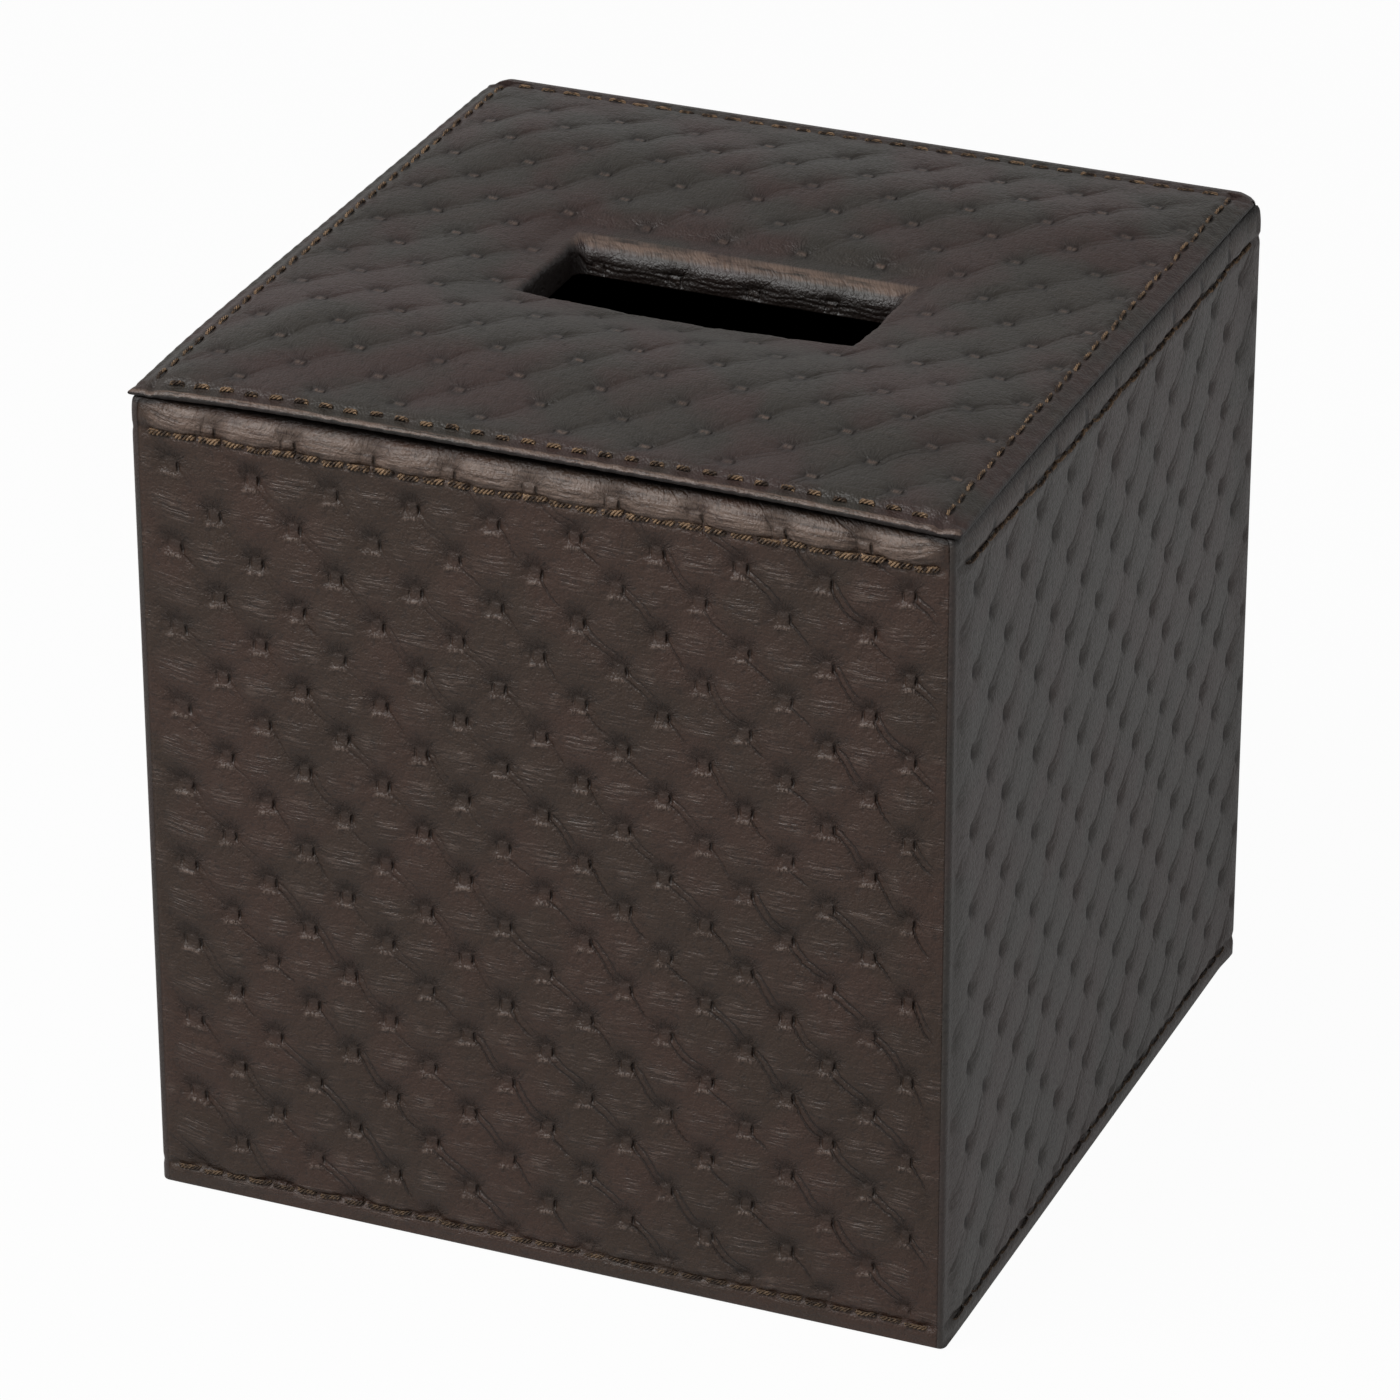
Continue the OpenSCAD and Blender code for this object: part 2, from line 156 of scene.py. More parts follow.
class Nodes:
    # The nodes of a material or of the room
    def __init__(self, tree):
        self.tree = tree

    def add(self, kind, settings, sockets, out=0):
        made = self.tree.nodes.new(kind)
        for key, value in settings.items():
            setattr(made, key, value)
        for key, value in sockets.items():
            if isinstance(value, Wire):
                self.tree.links.new(value.socket, made.inputs[key])
            else:
                made.inputs[key].default_value = value
        return Wire(self, made.outputs[out])

    def part(self, vector, axis):
        return self.add("ShaderNodeSeparateXYZ", {}, {"Vector": vector}, out=axis)

    def ray(self, kind):
        return self.add("ShaderNodeLightPath", {}, {}, out=kind)

    def between(self, value, low, high):
        # From low to high while the value goes from 0 to 1
        return self.add("ShaderNodeMapRange", {}, {"Value": value, "To Min": low, "To Max": high})

    def smooth(self, value, low, high):
        # 0 below low and 1 above high
        return self.add("ShaderNodeMapRange", {"interpolation_type": "SMOOTHSTEP"},
                        {"Value": value, "From Min": low, "From Max": high})


class Finish(Nodes):
    # A material and the nodes that make it
    def __init__(self, name, **constants):
        self.material = bpy.data.materials.new(name)
        self.material.use_nodes = True
        super().__init__(self.material.node_tree)
        self.shader = self.tree.nodes["Principled BSDF"]
        for socket, value in constants.items():
            self.shader.inputs[socket.replace("_", " ")].default_value = value

    def into(self, socket, wire):
        self.tree.links.new(wire.socket, self.shader.inputs[socket])

    def relief(self, height):
        # Height in millimetres
        self.into("Normal", self.add("ShaderNodeBump", {}, {"Distance": mm, "Height": height}))

    def quiltPlace(self):
        # Tufts along a row and rows up, as laid out on the leather
        return self.add("ShaderNodeUVMap", {"uv_map": "quilt"}, {})

    def solidPlace(self):
        return self.add("ShaderNodeTexCoord", {}, {}, out="Object")

    def vector(self, x, y, z=0.0):
        return self.add("ShaderNodeCombineXYZ", {}, {"X": x, "Y": y, "Z": z})

    def stretched(self, place, scale):
        return self.add("ShaderNodeMapping", {}, {"Vector": place, "Scale": scale})

    def noise(self, place, scale, detail=2.0, rough=0.5):
        return self.add("ShaderNodeTexNoise", {},
                        {"Vector": place, "Scale": scale, "Detail": detail, "Roughness": rough})

    def scatter(self, x, y):
        # A random share for each pair of whole numbers
        pair = self.vector(x, y)
        return self.add("ShaderNodeTexWhiteNoise", {"noise_dimensions": "2D"}, {"Vector": pair})

    def mix(self, factor, first, second):
        return self.add("ShaderNodeMix", {"data_type": "RGBA"},
                        {"Factor": factor, "A": first, "B": second}, out="Result")


studio = {
    "floor": (0.5, 0.5, 0.5, 1),
    "floorSize": 30,  # metres
    "floorRoughness": 0.9,
    "floorShine": 0.1,
    "floorWhite": 0.97,  # share of plain white in what the camera sees of the floor
    "floorGloss": 0.45,  # the same in a gloss
    "floorGlossFront": 0.16,  # less of it in front of the cover
    "floorGlossFade": 5,
    "room": 0.10,  # light from all round
    "roomGloss": 0.7,  # how bright the room is in a gloss near the table, and overhead
    "roomGlossHigh": 0.1,
    "softbox": 12.0,  # watts of the large lamp in front, to the left and above
    "softboxSize": (760, 700),
    "softboxPlace": (-420, -600, 940),
    "fill": 1.5,  # a weak lamp to the right
    "fillSize": (500, 900),
    "fillPlace": (1100, -300, 500),
    "aim": (0, 0, 70),  # of both lamps
}


def addLamp(name, watts, size, place):
    data = bpy.data.lights.new(name, "AREA")
    data.shape = "RECTANGLE"
    data.size, data.size_y = size[0] * mm, size[1] * mm
    data.energy = watts
    lamp = bpy.data.objects.new(name, data)
    lamp.location = Vector(place) * mm
    towards = Vector(studio["aim"]) - Vector(place)
    lamp.rotation_euler = towards.to_track_quat("-Z", "Y").to_euler()
    bpy.context.scene.collection.objects.link(lamp)


def makeStudio():
    bpy.context.scene.view_settings.view_transform = "Standard"
    world = bpy.data.worlds.new("studioWorld")
    world.use_nodes = True
    bpy.context.scene.world = world
    room = Nodes(world.node_tree)
    up = room.part(room.add("ShaderNodeTexCoord", {}, {}, out="Generated"), "Z")
    walls = room.between(up, studio["roomGloss"], studio["roomGlossHigh"])
    level = room.between(room.ray("Is Glossy Ray"), studio["room"], walls)
    for seen in ("Is Camera Ray", "Is Transmission Ray"):
        level = room.between(room.ray(seen), level, 1)
    background = room.tree.nodes["Background"]
    background.inputs["Color"].default_value = (1, 1, 1, 1)
    room.tree.links.new(level.socket, background.inputs["Strength"])

    bpy.ops.mesh.primitive_plane_add(size=studio["floorSize"], location=(0, 0, 0))
    floor = bpy.context.object
    floor.name = "paleFloor"
    finish = Finish("palePaper", Base_Color=studio["floor"], Roughness=studio["floorRoughness"],
                    Specular_IOR_Level=studio["floorShine"])
    white = finish.add("ShaderNodeEmission", {}, {"Color": (1, 1, 1, 1), "Strength": 1.0})
    seen = finish.ray("Is Camera Ray")
    gloss = finish.ray("Is Glossy Ray")
    depth = finish.part(finish.solidPlace(), "Y")
    behind = finish.smooth(depth, (frontY - studio["floorGlossFade"]) * mm, frontY * mm)
    behind = behind * (studio["floorGloss"] - studio["floorGlossFront"])
    share = seen * studio["floorWhite"] + gloss * (behind + studio["floorGlossFront"])
    paper = Wire(finish, finish.shader.outputs[0])
    shader = finish.add("ShaderNodeMixShader", {}, {"Fac": share, 1: paper, 2: white})
    finish.tree.links.new(shader.socket, finish.tree.nodes["Material Output"].inputs["Surface"])
    floor.data.materials.append(finish.material)
    for name in ("softbox", "fill"):
        addLamp(name, studio[name], studio[name + "Size"], studio[name + "Place"])


makeCamera()
makeStudio()
print("camera and studio made")

# The quilting is the same everywhere: rows of small square tufts, every other row half a step aside
quilt = {
    "pitch": 13.5,  # from tuft to tuft along a row
    "wallRow": 6.94,
    "lidRow": 7.24,
    "puffLevel": 0.55,  # share of the puff that lies under the plain leather
    "plug": 0.3,  # the square of leather in the middle of a tuft
    "slotDepth": 0.2,  # the two narrow slots at its sides
    "slotPlace": 1.08,
    "slotWidth": 0.24,
    "slotHeight": 0.62,
    "slotUneven": 0.35,  # the right one is deeper by this share, and the left one shallower
    "lipRise": 0.28,  # the small lip below a tuft
    "lipPlace": 1.35,
    "lipWidth": 0.36,
    "lipCurve": 0.12,
    "lipHalf": 1.9,
    "bend": 0.5,
    "creaseDepth": 0.5,
    "creaseWidth": 0.34,
    "creaseBeside": 1.3,  # a fainter crease runs this far beside the first
    "fanDepth": 0.09,  # folds that fan out from a tuft
    "fanFolds": 9,
    "fanFrom": 1.2,
    "fanPlace": 1.6,
    "fanReach": 1.8,
}
# puff: rise of the leather between tufts. dimple: depth of a tuft, which reaches up, down, left and right.
quiltStyle = {
    "front": {"puff": 0.38, "dimple": 0.6, "up": 2.4, "down": 1.4, "left": 1.8, "right": 1.8,
              "crease": 1.0, "slot": 1.0, "lip": 1.0, "fan": 1.0, "plug": 1.0},
    "side": {"puff": 0.14, "dimple": 0.95, "up": 1.3, "down": 1.2, "left": 0.75, "right": 1.6,
             "crease": 0.6, "slot": 0.0, "lip": 0.0, "fan": 0.6, "plug": 0.0},
    "lid": {"puff": 0.24, "dimple": 0.45, "up": 1.7, "down": 1.4, "left": 1.6, "right": 1.6,
            "crease": 0.6, "slot": 0.4, "lip": 0.5, "fan": 0.5, "plug": 0.8},
}


def chance(row, column, salt):
    # The same seemingly random share, 0 to 1, each time for a place in the pattern
    return np.abs(np.sin(row * 12.9898 + column * 78.233 + salt * 37.719) * 43758.5453) % 1


def bell(distance, reach):
    return np.exp(-(distance / reach) ** 2)


def smoothStep(share):
    share = np.clip(share, 0, 1)
    return share * share * (3 - 2 * share)


def bendPhase(reach, line, step):
    # Makes no two creases bend alike, in the mesh and in the material
    return reach * 5 + line * 2.1 + step * 1.3


def quilting(u, v, rowStep, lean, salt, part):
    # Height of the quilted leather at u along a row and v up from the first row
    q = quilt
    style = quiltStyle[part]
    row = np.round(v / rowStep)
    shift = (row % 2) / 2
    column = np.round(u / q["pitch"] - shift)
    du = u - (column + shift) * q["pitch"]
    dv = v - row * rowStep
    share = chance(row, column, salt)
    along = u / q["pitch"] + lean * v / (2 * rowStep)
    across = u / q["pitch"] - lean * v / (2 * rowStep)
    ridge = np.sqrt(np.sin(math.pi * along) ** 2 + 0.05)
    swell = np.sqrt(np.sin(math.pi * across) ** 2 + 0.25)
    height = style["puff"] * (ridge * swell - q["puffLevel"])
    # A crease runs part of the way from each tuft to the next one along the lean
    line = np.round(along)
    aside = (along - line) / math.hypot(1 / q["pitch"], 1 / (2 * rowStep))
    step = np.floor(across)
    reach = across - step
    strong = chance(line, step, salt + 3)
    aside = aside + q["bend"] * np.sin(bendPhase(reach, line, step))
    fade = np.clip(1.3 - (0.9 + 0.6 * strong) * reach, 0, 1) * np.clip(reach * 6 - 0.3, 0, 1)
    creased = bell(aside, q["creaseWidth"]) + 0.5 * bell(aside - q["creaseBeside"], q["creaseWidth"])
    height -= style["crease"] * q["creaseDepth"] * (0.15 + strong) * fade * creased
    # The tuft itself
    fall = np.where(dv > 0, style["up"], style["down"])
    spread = np.where(du > 0, style["right"], style["left"])
    depth = style["dimple"] * (0.7 + 0.6 * share)
    height -= depth * np.exp(-(du / spread) ** 2 - (dv / fall) ** 2)
    plug = np.clip(1.9 - np.abs(du) * 1.5, 0, 1) * np.clip(2.2 - np.abs(dv) * 1.9, 0, 1)
    height += style["plug"] * q["plug"] * plug
    tall = np.clip((q["slotHeight"] + 0.3 - np.abs(dv - 0.15)) / 0.5, 0, 1)
    slot = bell(np.abs(du) - q["slotPlace"], q["slotWidth"]) * tall * (1 + q["slotUneven"] * np.sign(du))
    height -= style["slot"] * q["slotDepth"] * (0.4 + 0.9 * share) * slot
    lip = bell(dv + q["lipPlace"] + q["lipCurve"] * du * du, q["lipWidth"])
    lip = lip * np.clip(q["lipHalf"] - np.abs(du), 0, 1)
    height += style["lip"] * q["lipRise"] * lip
    far = np.hypot(du, dv)
    fan = np.cos(q["fanFolds"] * np.arctan2(dv, du) + share * 6)
    fan = fan * np.clip((far - q["fanFrom"]) / 0.6, 0, 1) * bell(far - q["fanPlace"], q["fanReach"])
    height += style["fan"] * q["fanDepth"] * fan
    return height


def latticeSteps(low, high, origin, step, offsets):
    # Grid lines that follow the tufts, from low to high and not right beside either
    first = math.floor((low - origin) / step) - 1
    last = math.ceil((high - origin) / step) + 1
    lines = [origin + k * step + o for k in range(first, last + 1) for o in offsets]
    clear = 0.2
    inner = [x for x in sorted(lines) if low + clear < x < high - clear]
    return np.array([low, *inner, high])


# Where grid lines run near a tuft, closest at its slots and lip
fineLines = {
    "along": (-2.85, -2.25, -1.7, -1.25, -1.0, -0.72, -0.3, 0.3, 0.72, 1.0, 1.25, 1.7, 2.25, 2.85, 3.37),
    "up": (-2.8, -2.2, -1.65, -1.25, -0.95, -0.6, -0.2, 0.2, 0.6, 0.95, 1.25, 1.65, 2.2, 2.8, 3.45),
    "upSides": (-2.9, -2.2, -1.6, -1.1, -0.75, -0.25, 0.25, 0.75, 1.1, 1.6, 2.2, 2.9, 3.45),
}


class Piece:
    # Gathers the points and faces of one mesh, with each point's place in the quilting
    def __init__(self, name):
        self.name = name
        self.points = []
        self.places = []
        self.presses = []
        self.highlightShadeMasks = []
        self.faces = []
        self.flat = []
        self.count = 0

    def add(self, points, places=None, press=0.0, highlightShadeMask=0.0):
        # press: how deeply the tufts are pressed into the leather there, 0 to 1. The last value paints
        # light and shade there: above 0 a painted highlight, below 0 painted shade.
        points = np.asarray(points, float)
        shape = points.shape[:-1]
        size = int(np.prod(shape))
        if places is None:
            places = np.zeros(shape + (2,))
        self.presses.append(np.broadcast_to(press, shape).reshape(-1))
        self.highlightShadeMasks.append(np.broadcast_to(highlightShadeMask, shape).reshape(-1))
        self.points.append(points.reshape(-1, 3))
        self.places.append(np.asarray(places, float).reshape(-1, 2))
        index = np.arange(self.count, self.count + size).reshape(shape)
        self.count += size
        return index

    def strip(self, first, second, flat=False):
        quads = np.stack([first[:-1], first[1:], second[1:], second[:-1]], axis=-1)
        self.keep(quads.reshape(-1, 4), flat)

    def grid(self, index, flat=False, holes=None):
        quads = np.stack([index[:-1, :-1], index[:-1, 1:], index[1:, 1:], index[1:, :-1]], axis=-1)
        if holes is not None:
            quads = quads[~holes]
        self.keep(quads.reshape(-1, 4), flat)

    def keep(self, faces, flat):
        faces = [list(map(int, face)) for face in faces]
        self.faces.extend(faces)
        self.flat.extend([flat] * len(faces))

    def make(self, finish, body=None):
        points = np.concatenate(self.points) * mm
        places = np.concatenate(self.places)
        mesh = bpy.data.meshes.new(self.name)
        mesh.from_pydata(points.tolist(), [], self.faces)
        used = np.zeros(len(mesh.loops), np.int32)
        mesh.loops.foreach_get("vertex_index", used)
        layer = mesh.uv_layers.new(name="quilt")
        layer.uv.foreach_set("vector", places[used].astype(np.float32).ravel())
        pressed = np.stack([np.concatenate(self.presses), np.concatenate(self.highlightShadeMasks)], axis=-1)
        layer = mesh.uv_layers.new(name="press")
        layer.uv.foreach_set("vector", pressed[used].astype(np.float32).ravel())
        mesh.polygons.foreach_set("use_smooth", ~np.array(self.flat, bool))
        faces = bmesh.new()
        faces.from_mesh(mesh)
        bmesh.ops.recalc_face_normals(faces, faces=faces.faces)
        faces.to_mesh(mesh)
        faces.free()
        mesh.materials.append(finish.material)
        made = bpy.data.objects.new(self.name, mesh)
        bpy.context.scene.collection.objects.link(made)
        if body:
            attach(made, body)
        return made


# Leather of the walls: rolled over the rim, turned in behind it and turned under the base
wall = {
    "roll": (2.5, 4.8),  # how far in and down the roll along the rim reaches
    "rollSides": (1.3, 3.0),
    "footRadius": 0.45,
    "hemRadius": 0.5,
    "cornerRadius": 1.2,
    "cornerLip": bodyHalfWidth - seamX,
    "firstRow": 136.6,  # height of the top row of tufts
    "offset": -0.8,  # from the middle of the wall to the nearest tuft
    "offsetSides": -0.6,
    "pressFade": 2.2,  # tufts grow shallow over this near the rim and the foot
    "bandBulge": 0.5,  # swelling between the upper stitches and the rim
    "grooveDepth": 0.55,
    "grooveWidth": 0.62,
    "grooveWaves": (0.16, 0.08),  # how far the stitches pull the groove up and down
    "pucker": 0.12,
    "puckerPlace": 0.9,
    "puckerWidth": 0.7,
    "ridge": 0.12,  # low ridge below each row of stitches
    "ridgePlace": 1.2,
    "seamDepth": 0.06,
    "seamWidth": 0.5,
    "unevenness": 0.12,
    "reliefRange": (-1.25, 1.0),
    "reliefTop": 0.15,  # share of the relief that is left on the rim and behind it
    "reliefUnder": 0.1,
    "highlightSides": 0.15,  # how much painted highlight the sides get above the stitches, beside the front
    "shadeTop": 2.2,  # how fast painted shade darkens the leather over the top of the roll
    "plainEdge": 2.6,  # the quilting fades out this near the upright edges
    "easeCorner": 0.45,  # the right side is eased in towards its front corner and out towards the rear one
    "easeReach": 7,
    "tightCorner": 5.0,  # the roll along the rim is drawn tight this near a corner
    "tightRoll": 0.6,
}


def profile(upOffsets, rollIn, rollHigh):
    # Stations up the wall: how far in, height, tilt of the surface in radians, distance along the leather
    w = wall
    stations = []
    for inset in np.linspace(turnUnder, w["footRadius"], 9)[:-1]:
        stations.append((inset, underZ, -math.pi / 2, underZ - inset))
    r = w["footRadius"]
    for angle in np.linspace(-math.pi / 2, 0, 4)[:-1]:
        up = underZ + r + r * math.sin(angle)
        stations.append((r - r * math.cos(angle), up, angle, underZ + r + r * angle))
    start = rimZ - rollHigh
    angles = np.linspace(0, math.pi / 2, 181)
    inward = rollIn * (1 - np.cos(angles))
    upward = start + rollHigh * np.sin(angles)
    length = start + np.concatenate([[0], np.cumsum(np.hypot(np.diff(inward), np.diff(upward)))])
    end = length[-1]
    for along in latticeSteps(underZ + w["footRadius"], end, w["firstRow"], quilt["wallRow"], upOffsets):
        if along <= start:
            stations.append((0.0, along, 0.0, along))
        else:
            angle = np.interp(along, length, angles)
            tilt = math.atan2(math.sin(angle) / rollHigh, math.cos(angle) / rollIn)
            up = start + rollHigh * math.sin(angle)
            stations.append((rollIn * (1 - math.cos(angle)), up, tilt, along))
    r = w["hemRadius"]
    for inset in np.linspace(rollIn, hemDepth - r, 7)[1:]:
        stations.append((inset, rimZ, math.pi / 2, end + inset - rollIn))
    end += hemDepth - r - rollIn
    for angle in np.linspace(math.pi / 2, math.pi, 4)[1:]:
        stations.append((hemDepth - r - r * math.cos(angle), rimZ - r + r * math.sin(angle), angle,
                         end + r * (angle - math.pi / 2)))
    end += r * math.pi / 2
    for height in np.linspace(rimZ - r, turnInZ, 15)[1:]:
        stations.append((hemDepth, height, math.pi, end + rimZ - r - height))
    return np.array(stations).T


def straightPlan(t, inset, distance):
    # Plan of a front or rear sheet: t along the wall, out from the middle
    reach = seamX
    along = t * (reach - inset) / reach
    out = np.broadcast_to(distance - inset, along.shape)
    return along, out, np.zeros_like(along), np.ones_like(along)


def lappedPlan(t, inset, distance, half):
    # Plan of a side sheet, which laps round both upright edges
    w = wall
    radius = np.maximum(w["cornerRadius"] - inset, 0.25)
    straight = half - w["cornerRadius"]
    side = np.sign(t)
    past = np.abs(t) - straight
    angle = np.clip(past / w["cornerRadius"], 0, math.pi / 2)
    lapped = np.clip((past - w["cornerRadius"] * math.pi / 2) / (w["cornerLip"] - w["cornerRadius"]), 0, 1)
    middle = np.minimum(np.abs(t) / straight, 1) * (half - inset - radius)
    along = side * (middle + np.where(past > 0, radius * np.sin(angle), 0))
    out = distance - inset - radius * (1 - np.cos(angle)) - lapped * (w["cornerLip"] - radius)
    return along, out, side * np.sin(angle), np.cos(angle)


def wallPress(t, along, plainFrom):
    # Where the tufts are pressed in: not near the upright edges, the rim or the foot
    w = wall
    press = smoothStep((plainFrom - np.abs(t)) / w["plainEdge"])
    press = press * smoothStep((rimZ + 1.4 - along) / w["pressFade"])
    return press * smoothStep((along - footStitchZ - 0.4) / w["pressFade"])


def wallSeams(t, along, edge, plainFrom, salt):
    # Relief from the rows of stitches, the seam at the ends and the slow waves in the leather
    w = wall
    near = edge - np.abs(t)
    inside = smoothStep((plainFrom + 0.6 - np.abs(t)) / 1.2)
    band = np.clip((along - topStitchZ) / (rimZ - topStitchZ), 0, 1)
    height = w["bandBulge"] * np.sin(math.pi * band ** 0.7) * inside
    long, short = w["grooveWaves"]
    for place, seed in ((topStitchZ, 1.3), (footStitchZ, 4.1)):
        wave = long * np.sin(t * 2 * math.pi / quilt["pitch"] + seed + salt)
        wave = wave + short * np.sin(t * 1.7 + seed)
        beat = np.cos(2 * math.pi * t / stitch["pitch"])
        off = along - place - wave
        height = height - w["grooveDepth"] * bell(off - 0.25, w["grooveWidth"]) * (0.25 + 0.75 * inside)
        height = height + w["pucker"] * beat * bell(off - w["puckerPlace"], w["puckerWidth"]) * inside
        height = height + w["ridge"] * bell(off + w["ridgePlace"], w["puckerWidth"]) * inside
    height = height - w["seamDepth"] * bell(near, w["seamWidth"])
    slow = w["unevenness"] * np.sin(t / 17 + salt) * np.sin(along / 23 + 2 * salt)
    return height + slow * np.clip((plainFrom - np.abs(t)) / 8, 0, 1)


# How far the leather was pulled aside and down when it was glued on, and over what reach
pull = {
    "aside": 1.5,  # on the front and rear walls
    "asideReach": 30,
    "down": 0.45,
    "sag": 0.5,
    "sagHeight": 118,
    "sagReach": 22,
    "twist": 0.016,
    "twistReach": 105,
    "sideAside": 1.2,  # on the two sides
    "sideAsideReach": 40,
    "sideUp": 0.1,
    "sideSag": 1.5,
    "sideSagPlace": -66,
    "sideSagWide": 28,
    "sideSagHeight": 120,
    "sideSagReach": 42,
}


def drift(turn, t, along):
    # The pull at t along the wall and that far up the leather: aside and up
    p = pull
    below = rimZ - along
    if turn % 2 == 0:
        aside = p["aside"] * (1 - np.exp(-below / p["asideReach"]))
        raised = -p["down"] - p["sag"] * bell(along - p["sagHeight"], p["sagReach"])
        raised = raised + p["twist"] * t * below / p["twistReach"]
    else:
        aside = p["sideAside"] * (1 - np.exp(-below / p["sideAsideReach"]))
        sag = p["sideSag"] * bell(t - p["sideSagPlace"], p["sideSagWide"])
        raised = p["sideUp"] - sag * bell(along - p["sideSagHeight"], p["sideSagReach"])
    return aside, raised


def makeWall(name, turn, finish, salt):
    # turn in quarter turns: 0 the front, 1 the right side, 2 the rear, 3 the left side
    w = wall
    piece = Piece(name)
    lapped = turn % 2 == 1
    half = bodyHalfDepth if lapped else bodyHalfWidth
    distance = bodyHalfWidth if lapped else bodyHalfDepth
    offset = w["offsetSides" if lapped else "offset"]
    lean = -1 if lapped else 1
    rollIn, rollHigh = w["rollSides" if lapped else "roll"]
    inset, height, tilt, along = profile(fineLines["upSides" if lapped else "up"], rollIn, rollHigh)
    straight = half - w["cornerRadius"]
    if lapped:
        lines = latticeSteps(-straight, straight, offset, quilt["pitch"] / 2, fineLines["along"])
        arc = w["cornerRadius"] * math.pi / 2
        ends = straight + np.array([*np.linspace(0, arc, 7)[1:], arc + w["cornerLip"] - w["cornerRadius"]])
        t = np.concatenate([-ends[::-1], lines, ends])
    else:
        t = latticeSteps(-seamX, seamX, offset, quilt["pitch"] / 2, fineLines["along"])
    edge = t[-1]
    plainFrom = straight if lapped else seamX - 0.6
    flatT, flatA = np.meshgrid(t, along)
    aside, raised = drift(turn, flatT, flatA)
    hold = smoothStep((plainFrom - np.abs(flatT)) / 9)  # the pull fades out towards all four edges
    tt = flatT + aside * hold * smoothStep(flatA / 6) * smoothStep((rimZ - flatA) / 8)
    aa = flatA + raised * hold * smoothStep((flatA - 1.0) / 5) * smoothStep((rimZ + 1 - flatA) / 3)
    ii, hh, ll = (np.interp(aa, along, station) for station in (inset, height, tilt))
    onTop = math.pi / 2 - 0.05
    inward = math.pi / 2 + 0.05
    # On the right side the tufts are steep towards the front, and on the left side too
    mirror = -1 if turn == 3 else 1
    fromTuft, fromRow = flatT - offset, flatA - w["firstRow"]
    relief = quilting(mirror * fromTuft, fromRow, quilt["wallRow"], mirror * lean, salt,
                      "side" if lapped else "front")
    press = wallPress(flatT, flatA, plainFrom)
    band = smoothStep((flatA - topStitchZ) / 1.5) if lapped else 0
    relief = relief * press * (1 - 0.7 * band) + wallSeams(tt, aa, edge, plainFrom, salt) * (1 - 0.5 * band)
    if turn == 1:
        reach = w["easeReach"]
        eased = smoothStep((tt - plainFrom + reach) / reach)
        eased = eased - (1 - smoothStep((plainFrom + tt) / reach)) ** 2
        relief += w["easeCorner"] * eased * (1 - smoothStep((np.abs(tt) - straight) / arc))
    relief = np.clip(relief, *w["reliefRange"])
    relief[ll > onTop] *= w["reliefTop"]
    relief[ll < -0.5] *= w["reliefUnder"]
    # Near the corners the roll along the rim is drawn tight
    tight = 1 - smoothStep((plainFrom - np.abs(tt)) / w["tightCorner"])
    onRoll = (ll > 0) & (ll < onTop)
    share = w["tightRoll"] / rollIn
    full = np.clip((hh - rimZ + rollHigh) / rollHigh, 0, 1)
    hh = np.where(onRoll, hh + (rimZ - hh) * full * (1 - share) * tight, hh)
    ii = np.where(onRoll, ii * (1 - tight * (1 - share)), ii)
    plan = lappedPlan(tt, ii, distance, half) if lapped else straightPlan(tt, ii, distance)
    x, out, nx, nOut = plan
    cosTilt = np.cos(ll)
    x, out = x + nx * cosTilt * relief, out + nOut * cosTilt * relief
    local = np.stack([x, out, hh + np.sin(ll) * relief], axis=-1)
    places = np.stack([fromTuft / quilt["pitch"], fromRow / quilt["wallRow"]], axis=-1)
    # Painted highlight above the stitches, painted shade on the roll's top under the lid
    highlightShadeMask = smoothStep((flatA - topStitchZ - 0.6) / 1.2) * smoothStep((plainFrom - np.abs(flatT)) / 3)
    highlightShadeMask = highlightShadeMask * (w["highlightSides"] if lapped else 1) - w["shadeTop"] * smoothStep((hh - rimZ + 0.9) / 0.7)
    highlightShadeMask = np.where(ll > inward, 0, np.clip(highlightShadeMask, -1, 1))
    outer = piece.add(placed(local, turn), places, press, highlightShadeMask)
    piece.grid(outer)
    # The side that is glued to the board
    wallT = boardHigh[1] - boardLow[1]
    skin = boardLow[1] - frontY
    keys = [0, len(ends) - 1, len(t) - len(ends), len(t) - 1] if lapped else [0, len(t) - 1]
    kt, ki = np.meshgrid(t[keys], inset)
    back = np.where(tilt[:, None] < -0.01, np.maximum(ki, skin), np.clip(ki, skin, skin + wallT))
    backHeight = np.clip(height, boardLow[2], boardHigh[2])
    if lapped:
        bx, bOut = lappedPlan(kt, back, distance, half)[:2]
        bx = np.where(np.abs(kt) > straight - 0.01, np.sign(kt) * (half - back), bx)
    else:
        bx, bOut = straightPlan(kt, back, distance)[:2]
    behind = np.stack([bx, bOut, np.broadcast_to(backHeight[:, None], bx.shape)], axis=-1)
    backing = piece.add(placed(behind, turn), places[:, keys])
    piece.grid(backing[:, ::-1], flat=True)
    piece.strip(outer[:, 0][::-1], backing[:, 0][::-1], flat=True)
    piece.strip(outer[:, -1], backing[:, -1], flat=True)
    piece.keep([[*outer[0][::-1], *backing[0]]], True)
    piece.keep([[*outer[-1], *backing[-1][::-1]]], True)
    made = piece.make(finish, "body")
    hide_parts(name)


def placed(local, turn):
    # From along, outward and up on a wall to the frame
    along, out, up = local[..., 0], local[..., 1], local[..., 2]
    angle = turn * math.pi / 2
    x = along * math.cos(angle) + out * math.sin(angle)
    y = along * math.sin(angle) - out * math.cos(angle)
    return np.stack([x, y + bodyY, up], axis=-1)


